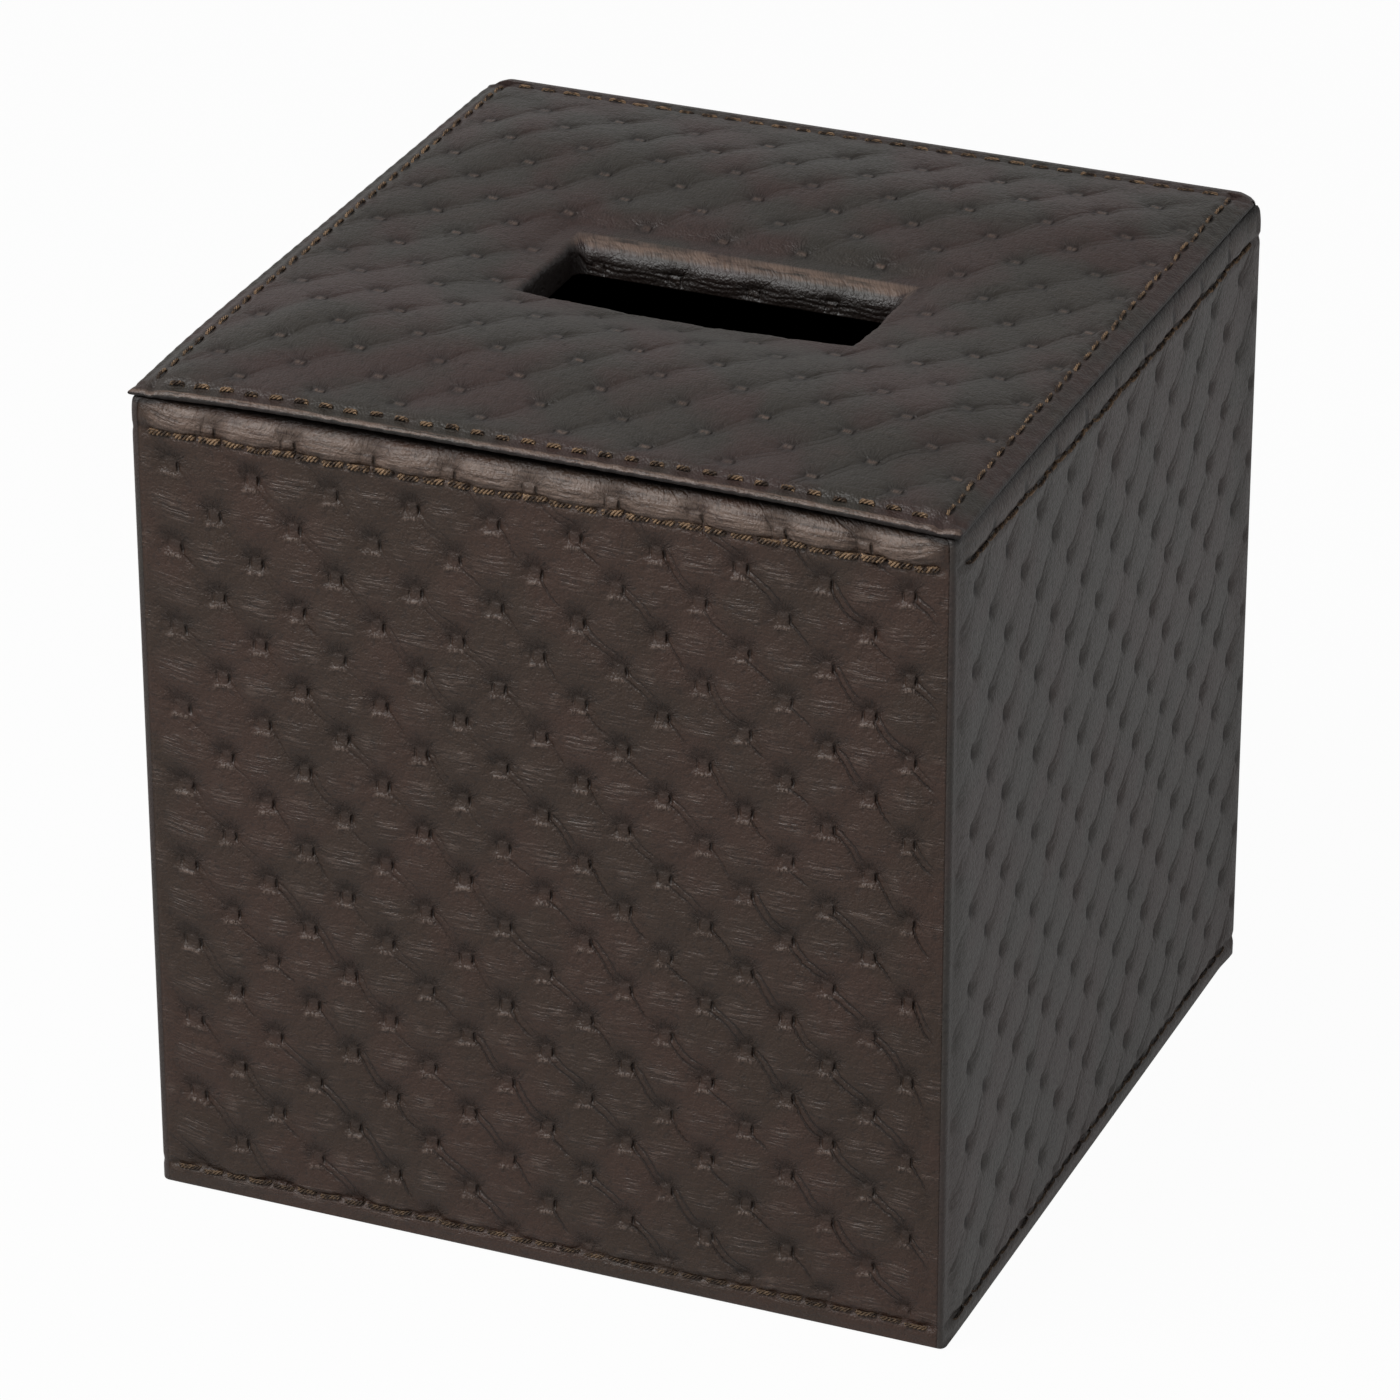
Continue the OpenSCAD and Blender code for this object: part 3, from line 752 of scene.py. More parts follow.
# Lid leather: padded top, rounded edge, turned-in edge and the slot's sleeve
lid = {
    "firstRow": -62.7,
    "offset": 1.4,
    "lean": -1,  # the creases lean the other way than on the front
    "salt": 7,  # another number gives other uneven tufts
    "humps": ((-38, 26, 1.7), (42, 20, 1.4), (2, 22, -0.65)),  # place, reach and rise
    "humpSides": 14,  # the humps run out over this width at the sides
    "edgeRadius": 0.9,
    "edgeFall": 1.3,  # the padding thins out towards the edges
    "edgeWide": 3.6,
    "leftFall": 0.35,
    "leftWide": 8,
    "rearFall": 0.6,
    "rearWide": 7,
    "cornerFall": 0.15,
    "cornerWide": 8,
    "cornerHem": 0.35,  # the folded edge is thicker at the front corners
    "cornerHemWide": 14,
    "cornerRadius": 0.6,  # in plan, at the two rear corners
    "hem": 0.3,  # the folded edge reaches this far below the board
    "setBack": 0.4,  # the edge stands back from the walls by this
    "boardInset": 2.6,  # the visible leather is soft this far in from the edge
    "bead": 0.14,  # how far the folded edge rises over the strip behind it
    "pleat": 0.08,
    "droopLeft": (0.7, 17),  # how far the front corners hang down, and how far that reaches
    "droopRight": (0.7, 26),
    "droopWide": 8,
    "stitchFront": 2.8,  # from the front edge to its row of stitches
    "stitchSide": 3.9,
    "stitchRear": 1.3,
    "grooveShare": 0.8,  # how deep the grooves are beside those of the walls
    "puckerWidth": 1.1,
    "slotLength": 57,
    "slotWidth": 23.4,
    "slotRadius": 2.5,
    "slotForward": 2.5,
    "slotAside": 0.8,
    "slotRoll": 1.1,  # width of the roll round the slot, and the same at its rear
    "slotRollRear": 3.4,
    "slotDrop": 1.5,  # height of that roll, and what it gains at the rear
    "slotDropRear": 1.5,
    "slotSink": 0.9,  # how far the leather is drawn down at the slot, and more behind it
    "slotSinkRear": 1.5,
    "slotReach": 8.5,
    "slotSag": 0.9,  # how far the front rim is pulled forward and down at its middle
    "slotPadding": 0.2,  # the walls of the slot stand this far into it
    "slotPaddingRear": 0.5,
    "slotPull": (-1.9, 4.1),  # how far the tufts on the slot's rear wall are pulled aside and down
    "sleeve": 0.8,
    "sleevePleats": (0.10, 0.06),
    "sleeveWrinkles": 0.07,
    "turnOut": 5,
}
# The boards inside the lid are eased down towards the slot, and the leather follows them
easeLow = 136.9
easeWide = 12.0
paddingLow = lidBoardHigh[2] - 0.7  # the padding is let this deep into the board
lidEdgeLow = lidBoardLow[2] + 0.35  # lowest point of the leather on the board's thinned edges
thinEdge = 0.1  # what is left of the board there, and over what width it is thinned
thinWide = 7.0
boardCorner = 1.0


def crown(x, y):
    # Height of the padding over the lid's edge plane
    fall = smoothStep((lidHigh[0] - lid["stitchSide"] - np.abs(x)) / lid["humpSides"])
    rise = 0
    for place, reach, height in lid["humps"]:
        rise = rise + height * np.cos(np.clip((y - place) / reach, -1, 1) * math.pi / 2) ** 2
    return rise * fall


def fromSlot(x, y):
    # Distance from the slot's outline, 0 inside it
    overX = np.maximum(np.abs(x - lid["slotAside"]) - lid["slotLength"] / 2, 0)
    overY = np.maximum(np.abs(y + lid["slotForward"]) - lid["slotWidth"] / 2, 0)
    return np.hypot(overX, overY)


def slotSink(x, y):
    # How far the leather is drawn down round the slot
    near = np.exp(-(fromSlot(x, y) / lid["slotReach"]) ** 3)
    behind = smoothStep((y - 1) / 9) * smoothStep((lid["slotLength"] / 2 + 7 - np.abs(x)) / 9)
    middle = np.cos(np.clip(x / (lid["slotLength"] / 2 + 4), -1, 1) * math.pi / 2) ** 2
    ahead = smoothStep(-(y + 8) / 6)
    return near * (lid["slotSink"] + lid["slotSinkRear"] * behind + 0.6 * lid["slotSag"] * middle * ahead)


def lidSeams(x, y):
    # Relief from the rows of stitches round the lid
    height = 0
    for off, run in (
        (y - (lidLow[1] + lid["stitchFront"]), x),
        (y - (lidHigh[1] - lid["stitchRear"]), x),
        (lidHigh[0] - lid["stitchSide"] - np.abs(x), y),
    ):
        beat = np.cos(2 * math.pi * run / stitch["pitch"])
        height = height - wall["grooveDepth"] * lid["grooveShare"] * bell(off, wall["grooveWidth"])
        height = height + wall["pucker"] * beat * bell(off, lid["puckerWidth"])
    return height


def lidPress(x, y):
    # Where the tufts are pressed in: within the stitches, and slowly from the rear ones
    inner = np.minimum(y - lidLow[1] - lid["stitchFront"], (lidHigh[1] - lid["stitchRear"] - y) / 4)
    inner = np.minimum(inner, lidHigh[0] - lid["stitchSide"] - np.abs(x))
    return smoothStep((inner - 0.3) / 2.0)


def lidQuilting(u, v, part):
    return quilting(u, v, quilt["lidRow"], lid["lean"], lid["salt"], part)


def lidSurface(x, y):
    tufts = lidQuilting(x - lid["offset"], y - lid["firstRow"], "lid")
    return lidTop + crown(x, y) - slotSink(x, y) + tufts * lidPress(x, y) + lidSeams(x, y)


def edgeShape(x, y):
    # The lid thins out towards its edges and ends in a narrow bead with small pleats
    front = y - lidLow[1]
    side = lidHigh[0] - np.abs(x)
    near = np.minimum(front, side)
    pleats = np.sin(x * 1.9 + 2 * np.sin(x / 7)) * np.sin(y * 1.7 + 2 * np.sin(y / 9))
    fall = lid["edgeFall"] * (1 - smoothStep((near - 0.4) / lid["edgeWide"]))
    fall = fall + lid["leftFall"] * (1 - smoothStep((x + lidHigh[0] - 1) / lid["leftWide"]))
    rear = 1 - smoothStep((lidHigh[1] - y) / lid["rearWide"])
    fall = fall + lid["rearFall"] * rear * smoothStep(side / 4)
    fall = fall + lid["cornerFall"] * bell(np.hypot(front, side), lid["cornerWide"])
    return lid["bead"] * bell(near - 1.0, 0.6) + lid["pleat"] * pleats * bell(near - 0.8, 1.0) - fall


def droop(x, y):
    # How far the front corners hang down
    low = 0
    for side, (depth, reach) in ((-1, lid["droopLeft"]), (1, lid["droopRight"])):
        low = low + depth * bell(np.hypot(x - side * lidHigh[0], y - lidLow[1]), reach)
    return low


def edgeDroop(x, y):
    # The same on top of the lid, where it fades out away from the edges
    near = np.minimum(y - lidLow[1], lidHigh[0] - np.abs(x))
    return droop(x, y) * (1 - smoothStep((near - 1) / lid["droopWide"]))


def roundedLoop(halfX, lowY, highY, radius, z):
    # Outline with rounded corners, anticlockwise from the rear right corner
    points = []
    for turn, (sx, y) in enumerate(((1, highY), (-1, highY), (-1, lowY), (1, lowY))):
        towards = 1 if y == highY else -1
        centre = (sx * (halfX - radius), y - towards * radius)
        for k in range(7):
            angle = turn * math.pi / 2 + k * math.pi / 12
            points.append((centre[0] + radius * math.cos(angle), centre[1] + radius * math.sin(angle), z))
    return np.array(points)


def slotLoop(grow, z):
    halfLong, halfWide = lid["slotLength"] / 2 + grow, lid["slotWidth"] / 2 + grow
    loop = roundedLoop(halfLong, -halfWide - lid["slotForward"], halfWide - lid["slotForward"],
                       lid["slotRadius"] + grow, z)
    return loop + np.array([lid["slotAside"], 0, 0])


def makeLidBoards(finish):
    boards = (lidBoardLow, lidBoardHigh), corners("lid_locating_board")
    middle = lidBoardLow[2]
    under, over = (corner[2] for corner in boards[1])
    meet = easeWide - 2.5  # where the easing passes from one board into the other
    soft = lid["boardInset"]
    thinned = ((soft + thinWide, paddingLow), (soft, middle + thinEdge), (soft, middle))
    square = ((0, over), (0, under))
    upperHole = ((meet, middle), (easeWide, paddingLow))
    lowerHole = ((lid["sleeve"], under), (lid["sleeve"], easeLow), (meet, middle))
    for name, (low, high), holes, edges in (("lid_board", boards[0], upperHole, thinned),
                                            ("lid_locating_board", boards[1], lowerHole, square)):
        piece = Piece(name)
        outer = [roundedLoop(high[0] - inset, low[1] + inset, high[1] - inset, boardCorner, z)
                 for inset, z in edges]
        loops = [slotLoop(*hole) for hole in holes] + outer
        index = [piece.add(loop) for loop in loops]
        for first, second in zip(index, index[1:] + index[:1]):
            closedStrip(piece, first, second, flat=True)
        made = piece.make(finish, "lid")
        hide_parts(name)


keeper = {"width": 2.0, "thickness": 0.3}  # let into the board where the lid is thin


def makeKeepers(finish):
    piece = Piece("lid_keepers")
    plates = np.array([v.co for v in bpy.data.objects["lid_keepers"].data.vertices]) / mm
    for side in (-1, 1):
        plate = plates[plates[:, 0] * side > 0]
        low, high = plate.min(axis=0), plate.max(axis=0)
        left, right, rear = low[0], high[0], high[1]
        front = rear - keeper["width"]
        lower, upper = (piece.add([(left, front, z), (right, front, z), (right, rear, z), (left, rear, z)])
                        for z in (low[2], low[2] + keeper["thickness"]))
        piece.keep([lower[::-1], upper], True)
        closedStrip(piece, lower, upper, flat=True)
    made = piece.make(finish, "lid")
    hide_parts("lid_keepers")


def linesRound(low, hole, high, origin, step, offsets):
    # Grid lines from low to high that also follow both ends of the hole
    return np.concatenate([
        latticeSteps(low, hole[0], origin, step, offsets),
        latticeSteps(hole[0], hole[1], origin, step, offsets)[1:-1],
        latticeSteps(hole[1], high, origin, step, offsets),
    ])


def ringOf(array, a0, a1, b0, b1):
    # The values round the edge of a part of a grid
    return np.concatenate([array[a0:a1, b1], array[a1, b0 + 1:b1 + 1][::-1],
                           array[a0 + 1:a1 + 1, b0][::-1], array[a0, b0:b1]])


def makeLidCover(finish):
    piece = Piece("lid_cover")
    r = lid["edgeRadius"]
    back = lid["setBack"]
    low = np.array([lidLow[0] + r + back, lidLow[1] + r + back])
    high = np.array([lidHigh[0] - r - back, lidHigh[1]])
    holeX = np.array([-1, 1]) * (lid["slotLength"] / 2 + lid["slotRoll"]) + lid["slotAside"]
    holeY = np.array([-lid["slotWidth"] / 2 - lid["slotRoll"], lid["slotWidth"] / 2 + lid["slotRollRear"]])
    holeY = holeY - lid["slotForward"]
    xs = linesRound(low[0], holeX, high[0], lid["offset"], quilt["pitch"] / 2, fineLines["along"])
    ys = linesRound(low[1], holeY, high[1], lid["firstRow"], quilt["lidRow"], fineLines["upSides"])
    gx, gy = np.meshgrid(xs, ys)
    gz = np.maximum(lidSurface(gx, gy) + edgeShape(gx, gy), lidEdgeLow) - edgeDroop(gx, gy)
    middle = np.cos(np.clip((gx - lid["slotAside"]) / (holeX[1] + 3), -1, 1) * math.pi / 2) ** 2
    sag = lid["slotSag"] * middle * bell(np.maximum(holeY[0] - gy, 0), 5) * (gy < holeY[0] + 0.01)
    px, py = gx.copy(), gy - sag
    # The two rear corners are rounded
    corner = lid["cornerRadius"]
    overX = np.maximum(np.abs(gx) - (high[0] - corner), 0)
    overY = np.maximum(gy - (high[1] - corner), 0)
    far = np.maximum(overX, overY)
    squeeze = np.where(far > 0, far / np.maximum(np.hypot(overX, overY), 1e-9), 1)
    px -= np.sign(gx) * overX * (1 - squeeze)
    py -= overY * (1 - squeeze)
    u, v = gx - lid["offset"], gy - lid["firstRow"]
    places = np.stack([u / quilt["pitch"], v / quilt["lidRow"]], axis=-1)
    # Painted highlight along the bead of the front edge
    highlightShadeMask = 0.8 * (1 - smoothStep((gy - lidLow[1] - 0.7) / 0.6))
    top = piece.add(np.stack([px, py, gz], axis=-1), places, lidPress(gx, gy), highlightShadeMask)
    i0, i1 = np.searchsorted(xs, holeX - 0.01)
    j0, j1 = np.searchsorted(ys, holeY - 0.01)
    holes = np.zeros((len(ys) - 1, len(xs) - 1), bool)
    holes[j0:j1, i0:i1] = True
    piece.grid(top, holes=holes)

    # Round the outside: down over the edge and in under the lid
    rim = (0, len(ys) - 1, 0, len(xs) - 1)
    rx, ry, bx, by, bz, index = (ringOf(a, *rim) for a in (gx, gy, px, py, gz, top))
    uv = np.stack([ringOf(places[..., k], *rim) for k in (0, 1)], axis=-1)
    side = np.abs(rx) > high[0] - 0.01
    front = ry < low[1] + 0.01
    fade = np.clip((high[1] - ry) / corner, 0, 1)
    outX = np.sign(rx) * side * np.sqrt(fade * (2 - fade))
    outY = -1.0 * front
    pleats = 1 + 0.1 * np.sin(rx * 2.3 + 1.5 * np.sin(rx / 5)) * front
    loops = [index]

    # A ring's last value paints light: by default painted shade under the lid's edge and on its turned-in
    # part
    def ring(x, y, z, shift, highlightShadeMask=-1.0):
        z = np.broadcast_to(z, x.shape)
        place = uv + np.stack([outX, outY], axis=-1) * shift / np.array([quilt["pitch"], quilt["lidRow"]])
        loops.append(piece.add(np.stack([x, y, z], axis=-1), place, 0, highlightShadeMask))

    hem = lidBoardLow[2] - lid["hem"]
    hang = droop(rx, ry)
    fromCorner = np.hypot(lidHigh[0] - np.abs(rx), ry - lidLow[1])
    underEdge = hem - hang - lid["cornerHem"] * bell(fromCorner, lid["cornerHemWide"])
    # At the front the upper side of the bead gets a painted highlight, the rest of the edge painted shade
    for angle in np.linspace(0, math.pi, 12)[1:]:
        out = r * math.sin(angle) * pleats
        up = underEdge + (bz - underEdge) * (1 + math.cos(angle)) / 2
        ring(bx + outX * out, by + outY * out, up, r * angle, 0.9 * front if angle < 1.4 else -1.0)
    turnIn = 9  # length of leather from the edge to the locating board
    deep = high[1] - low[1]
    inX = rx * (locatorHigh[0] / high[0])
    inY = locatorLow[1] + (ry - low[1]) * (locatorHigh[1] - locatorLow[1]) / deep
    for part in (0.35, 0.7, 1.0):
        ring(bx + (inX - bx) * part, by + (inY - by) * part, hem - hang * (1 - part) ** 2, 4 + 5 * part)
    soft = lid["boardInset"]
    skinX = rx * ((lidBoardHigh[0] - soft) / high[0])
    skinY = (lidBoardLow[1] + soft) + (ry - low[1]) * (high[1] - lidBoardLow[1] - 2 * soft) / deep
    ring(inX, inY, lidBoardLow[2], turnIn)
    ring(skinX, skinY, lidBoardLow[2], turnIn)
    ring(skinX, skinY, lidBoardLow[2] + thinEdge, turnIn)
    skinX = skinX * (1 - thinWide / lidBoardHigh[0])
    skinY = (skinY - skinY.mean()) * (1 - thinWide / lidBoardHigh[1]) + skinY.mean()
    ring(skinX, skinY, paddingLow, turnIn)
    for first, second in zip(loops[:-1], loops[1:]):
        closedStrip(piece, first, second)
    outerBack = loops[-1]

    # Round the slot: over the roll, down the sleeve and out under the lid
    hole = (j0, j1, i0, i1)
    sx, sy, bx, by, bz, index = (ringOf(a, *hole) for a in (gx, gy, px, py, gz, top))
    halfLong = lid["slotLength"] / 2 - lid["slotRadius"]
    halfWide = lid["slotWidth"] / 2 - lid["slotRadius"]
    coreX = np.clip(sx - lid["slotAside"], -halfLong, halfLong) + lid["slotAside"]
    coreY = np.clip(sy + lid["slotForward"], -halfWide, halfWide) - lid["slotForward"]
    awayX, awayY = sx - coreX, sy - coreY
    away = np.hypot(awayX, awayY)
    awayX, awayY = awayX / away, awayY / away
    behind = np.clip(awayY, 0, 1) ** 2
    padding = lid["slotPadding"] + lid["slotPaddingRear"] * behind
    slotX = coreX + awayX * (lid["slotRadius"] - padding)
    slotY = coreY + awayY * (lid["slotRadius"] - padding)
    backX = coreX + awayX * lid["slotRadius"]
    backY = coreY + awayY * lid["slotRadius"]
    drop = lid["slotDrop"] + lid["slotDropRear"] * behind
    loops = [index]
    run = np.zeros_like(sx)
    lastX, lastY, lastZ = bx, by, bz

    def slotPlaces():
        # The row of tufts on the rear wall of the slot is pulled down to its lower edge
        pulled = smoothStep(run / 4) * behind
        u = sx - lid["offset"] - awayX * run + lid["slotPull"][0] * pulled
        v = sy - lid["firstRow"] - awayY * run + lid["slotPull"][1] * pulled
        return u, v

    def slotRing(x, y, z, wrinkle=0.0):
        nonlocal run, lastX, lastY, lastZ
        z = np.broadcast_to(z, x.shape)
        run = run + np.sqrt((x - lastX) ** 2 + (y - lastY) ** 2 + (z - lastZ) ** 2)
        lastX, lastY, lastZ = x, y, z
        u, v = slotPlaces()
        x = x + awayX * -wrinkle
        y = y + awayY * -wrinkle
        places = np.stack([u / quilt["pitch"], v / quilt["lidRow"]], axis=-1)
        # Painted highlight on the slot's rear roll, painted shade further down the sleeve
        paintedLight = 1.3 * behind * bell(run - 1.9, 1.8) - smoothStep((run - 2.6 * behind - 0.5) / 1.0)
        pressed = 0.35 + 0.65 * behind
        loops.append(piece.add(np.stack([x, y, z], axis=-1), places, pressed, np.clip(paintedLight, -1, 1)))

    def sleeveRelief():
        u, v = slotPlaces()
        around = sx * np.abs(awayY) + sy * np.abs(awayX)
        long, short = lid["sleevePleats"]
        pleat = long * np.sin(around * 2.6 + 2 * np.sin(around / 3)) + short * np.sin(around * 5.3)
        wrinkles = lid["sleeveWrinkles"] * np.sin(run * 6.5 + 1.5 * np.sin(around * 0.7))
        wrinkles = wrinkles * smoothStep((run - 3) / 2) * behind
        tufts = lidQuilting(u, v, "front") * (0.3 + 0.4 * behind)
        return tufts + pleat * (1 - 0.6 * behind) + wrinkles

    for angle in np.linspace(0, math.pi / 2, 11)[1:]:
        part = math.sin(angle)
        slotRing(bx + (slotX - bx) * part, by + (slotY - by) * part, bz - drop * (1 - math.cos(angle)),
                 sleeveRelief() * part * 0.9)
    bottom = lidLow[2]
    rolled = bz - drop
    for part in np.linspace(0, 1, 15)[1:]:
        slotRing(slotX, slotY, rolled + (bottom - rolled) * part, sleeveRelief() * (1 - part ** 3) * 0.9)
    spread = lid["sleeve"] + lid["turnOut"] / np.maximum(np.abs(awayX), np.abs(awayY))
    spreadX = backX + awayX * spread - lid["slotAside"]
    spreadY = backY + awayY * spread
    flange = bottom + lid["sleeve"]
    slotRing(spreadX, spreadY, bottom)
    slotRing(spreadX, spreadY, flange)
    for out, z in ((lid["sleeve"], flange), (lid["sleeve"], easeLow), (easeWide, paddingLow)):
        slotRing(backX + awayX * out, backY + awayY * out, z)
    for first, second in zip(loops[:-1], loops[1:]):
        closedStrip(piece, second, first)
    bridge(piece, outerBack, (skinX, skinY), loops[-1], (lastX, lastY))
    made = piece.make(finish, "lid")
    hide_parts("lid_cover")


def closedStrip(piece, first, second, flat=False):
    piece.strip(np.append(first, first[0]), np.append(second, second[0]), flat)


def bridge(piece, outer, outerPlace, inner, innerPlace):
    # Flat ring of triangles between two loops round the slot
    turns = [np.arctan2(y + lid["slotForward"], x) for x, y in (outerPlace, innerPlace)]
    order = [np.argsort(t) for t in turns]
    rings = [np.append(loop[o], loop[o][0]) for loop, o in zip((outer, inner), order)]
    angles = [np.append(t[o], t[o][0] + 2 * math.pi) for t, o in zip(turns, order)]
    i = j = 0
    faces = []
    while i < len(rings[0]) - 1 or j < len(rings[1]) - 1:
        nextOuter = angles[0][i + 1] if i < len(rings[0]) - 1 else math.inf
        nextInner = angles[1][j + 1] if j < len(rings[1]) - 1 else math.inf
        if nextOuter <= nextInner:
            faces.append([rings[0][i], rings[1][j], rings[0][i + 1]])
            i += 1
        else:
            faces.append([rings[0][i], rings[1][j], rings[1][j + 1]])
            j += 1
    piece.keep(faces, True)


# The strip that the lid swings on: up the rear wall and over a roll into the lid
hinge = {
    "rollRadius": 4.7,
    "thickness": 1.2,
    "lineEvery": 0.55,
    "reliefFrom": 2,  # the tufts start this far from the lid, and are full after the fade
    "reliefFade": 8,
    "sideDrop": 0.6,  # the strip thins out towards its sides
    "sideWide": 2.5,
    "edgeDrop": 0.35,  # small round of the cut edge
}


def makeHinge(finish):
    piece = Piece("lid_hinge_strip")
    half = stripHigh[0]
    radius = hinge["rollRadius"]
    centreY = stripHigh[1] - radius
    centreZ = stripHigh[2] - radius
    stations = []
    arc = radius * math.pi / 2
    rise = radius - lid["rearFall"]
    for along in latticeSteps(-arc - (centreZ - stripLow[2]), 0, 0, hinge["lineEvery"], (0.0,)):
        if along > -arc:
            angle = math.pi / 2 + along / radius
            out, up = radius * math.cos(angle), rise * math.sin(angle)
            stations.append((centreY + out, centreZ + up, angle, along))
        else:
            stations.append((stripHigh[1], centreZ + along + arc, 0.0, along))
    y, z, tilt, along = np.array(stations).T
    xs = latticeSteps(-half, half, lid["offset"], quilt["pitch"] / 2, fineLines["along"])
    xx, aa = np.meshgrid(xs, along)
    v = lidHigh[1] - aa - lid["firstRow"]
    u = xx - lid["offset"]
    side = half - np.abs(xx)
    near = aa - aa.min()
    relief = lidQuilting(u, v, "lid") * np.clip(side / 3, 0, 1) * np.clip(near / 2, 0, 1)
    relief = relief * smoothStep((-aa - hinge["reliefFrom"]) / hinge["reliefFade"])
    relief -= hinge["sideDrop"] * smoothStep((hinge["sideWide"] - side) / hinge["sideWide"])
    stitchAt = z[:, None] - topStitchZ
    relief -= wall["grooveDepth"] * lid["grooveShare"] * bell(stitchAt, wall["grooveWidth"])
    relief -= hinge["edgeDrop"] * (bell(near, 0.35) + bell(side, 0.35))
    yy = y[:, None] + np.cos(tilt)[:, None] * relief
    zz = z[:, None] + np.sin(tilt)[:, None] * relief
    places = np.stack([u / quilt["pitch"], v / quilt["lidRow"]], axis=-1)
    outer = piece.add(np.stack([xx, yy, zz], axis=-1), places)
    piece.grid(outer[:, ::-1])
    keys = [0, len(xs) - 1]
    by = y - np.cos(tilt) * hinge["thickness"]
    bz = z - np.sin(tilt) * hinge["thickness"]
    behind = np.stack([xx[:, keys], np.stack([by, by], 1), np.stack([bz, bz], 1)], axis=-1)
    backing = piece.add(behind, places[:, keys])
    piece.grid(backing, flat=True)
    piece.strip(outer[:, 0], backing[:, 0], flat=True)
    piece.strip(outer[:, -1][::-1], backing[:, -1][::-1], flat=True)
    piece.keep([[*outer[0], *backing[0][::-1]]], True)
    piece.keep([[*outer[-1][::-1], *backing[-1]]], True)
    made = piece.make(finish)
    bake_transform(made)
    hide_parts("lid_hinge_strip")


# Thread of three strands. Thickness and length of a row are shares of these.
stitch = {
    "pitch": 4.2,
    "length": 4.0,
    "lengthVaries": (0.9, 1.05),
    "radius": 0.46,  # of the whole thread
    "strandRadius": 0.24,
    "strands": 3,
    "lead": 2.1,  # length of one full twist
    "rise": 0.30,
    "dive": 0.55,
    "sinkVaries": (-0.16, 0.06),
    "tilt": 3.0,  # degrees
    "tiltVaries": 2.5,
    "asideVaries": 0.07,
    "sway": 0.12,
    "rings": 19,  # along a strand
    "sides": 6,
}
# Height of the row, thickness, and how deep it lies
wallRows = {
    "body_top_stitching": (topStitchZ, 1.0, -0.34),
    "body_foot_stitching": (footStitchZ, 0.72, -0.50),
}
sideRows = {"thickness": 0.64, "raised": 0.22, "cornerGap": 2.4}
# Thickness and length of the stitches on the lid
lidRows = {"front": (0.70, 0.62), "right": (0.52, 0.78), "rear": (0.45, 0.78), "left": (0.52, 0.78)}
lidRowSunk = 0.26
lidRowTilt = 0.6


def addStitch(piece, centre, along, normal, random, thick, turned, share):
    # One stitch: twisted strands that come out of one hole and go into the next
    across = np.cross(normal, along)
    tilt = math.radians(stitch["tilt"] * turned + random.normal(0, stitch["tiltVaries"]))
    along, across = (along * math.cos(tilt) + across * math.sin(tilt),
                     across * math.cos(tilt) - along * math.sin(tilt))
    length = share * stitch["length"] * random.uniform(*stitch["lengthVaries"])
    aside = random.normal(0, stitch["asideVaries"])
    sink = random.uniform(*stitch["sinkVaries"])
    rings = np.linspace(-1, 1, stitch["rings"])
    twist = random.uniform(0, 2 * math.pi)
    core = (stitch["radius"] - stitch["strandRadius"] * 0.55) * thick
    radius = thick * stitch["strandRadius"] * (1 - 0.35 * np.abs(rings) ** 6)
    around = np.linspace(0, 2 * math.pi, stitch["sides"] + 1)[:-1]
    for strand in range(stitch["strands"]):
        turn = twist + strand * 2 * math.pi / stitch["strands"] - rings * length * math.pi / stitch["lead"]
        height = stitch["rise"] * (1 - 0.6 * rings ** 4) - stitch["dive"] * np.abs(rings) ** 11
        height = height + sink + core * np.sin(turn)
        spine = (centre + along * (rings * length / 2)[:, None]
                 + across * (aside + core * np.cos(turn))[:, None] + normal * height[:, None])
        hoop = (spine[:, None] + across * (radius[:, None] * np.cos(around))[..., None]
                + normal * (radius[:, None] * np.sin(around))[..., None])
        places = np.stack(np.broadcast_arrays((rings * length / 2)[:, None], around[None, :]), axis=-1)
        index = piece.add(hoop, places)
        piece.grid(np.concatenate([index, index[:, :1]], axis=1))
        piece.keep([index[0][::-1], index[-1]], False)


def stitchRun(piece, start, end, normal, heightAt, random, thick, turned=1, share=1.0):
    # A row of stitches from start to end, centred between them
    start, end, normal = (np.asarray(p, float) for p in (start, end, normal))
    length = np.linalg.norm(end - start)
    along = (end - start) / length
    across = np.cross(normal, along)
    count = int(length // stitch["pitch"])
    for i in range(count):
        place = (i - (count - 1) / 2) * stitch["pitch"]
        centre = (start + end) / 2 + along * place
        centre = centre + across * stitch["sway"] * math.sin(place * 2 * math.pi / quilt["pitch"] + 1.3)
        reach = along * stitch["length"] / 3
        slope = reach + normal * (heightAt(centre + reach) - heightAt(centre - reach)) / 2
        centre = centre + normal * heightAt(centre)
        addStitch(piece, centre, slope / np.linalg.norm(slope), normal, random, thick, turned, share)


def sewWalls(name, finish):
    height, thick, sunk = wallRows[name]
    piece = Piece(name)
    random = np.random.RandomState(round(height))
    for turn in range(4):
        lapped = turn % 2 == 1
        half = (bodyHalfDepth if lapped else bodyHalfWidth) - sideRows["cornerGap"]
        distance = bodyHalfWidth if lapped else bodyHalfDepth
        if name == "body_top_stitching" and turn == 2:
            distance += hinge["thickness"]  # here the row goes through the hinge strip too
        ends = placed(np.array([[-half, distance, height], [half, distance, height]], float), turn)
        outward = placed(np.array([0, 1.0, 0]), turn) - placed(np.array([0, 0.0, 0]), turn)
        level = sunk + (sideRows["raised"] if lapped else 0)
        slim = sideRows["thickness"] if lapped else 1
        stitchRun(piece, *ends, outward, lambda c: level, random, thick * slim)
    made = piece.make(finish, "body")
    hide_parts(name)


def onLid(centre):
    # Height of the thread over the lid's edge plane
    x, y = centre[:2]
    return float(crown(x, y) + edgeShape(x, y) - edgeDroop(x, y)) - lidRowSunk


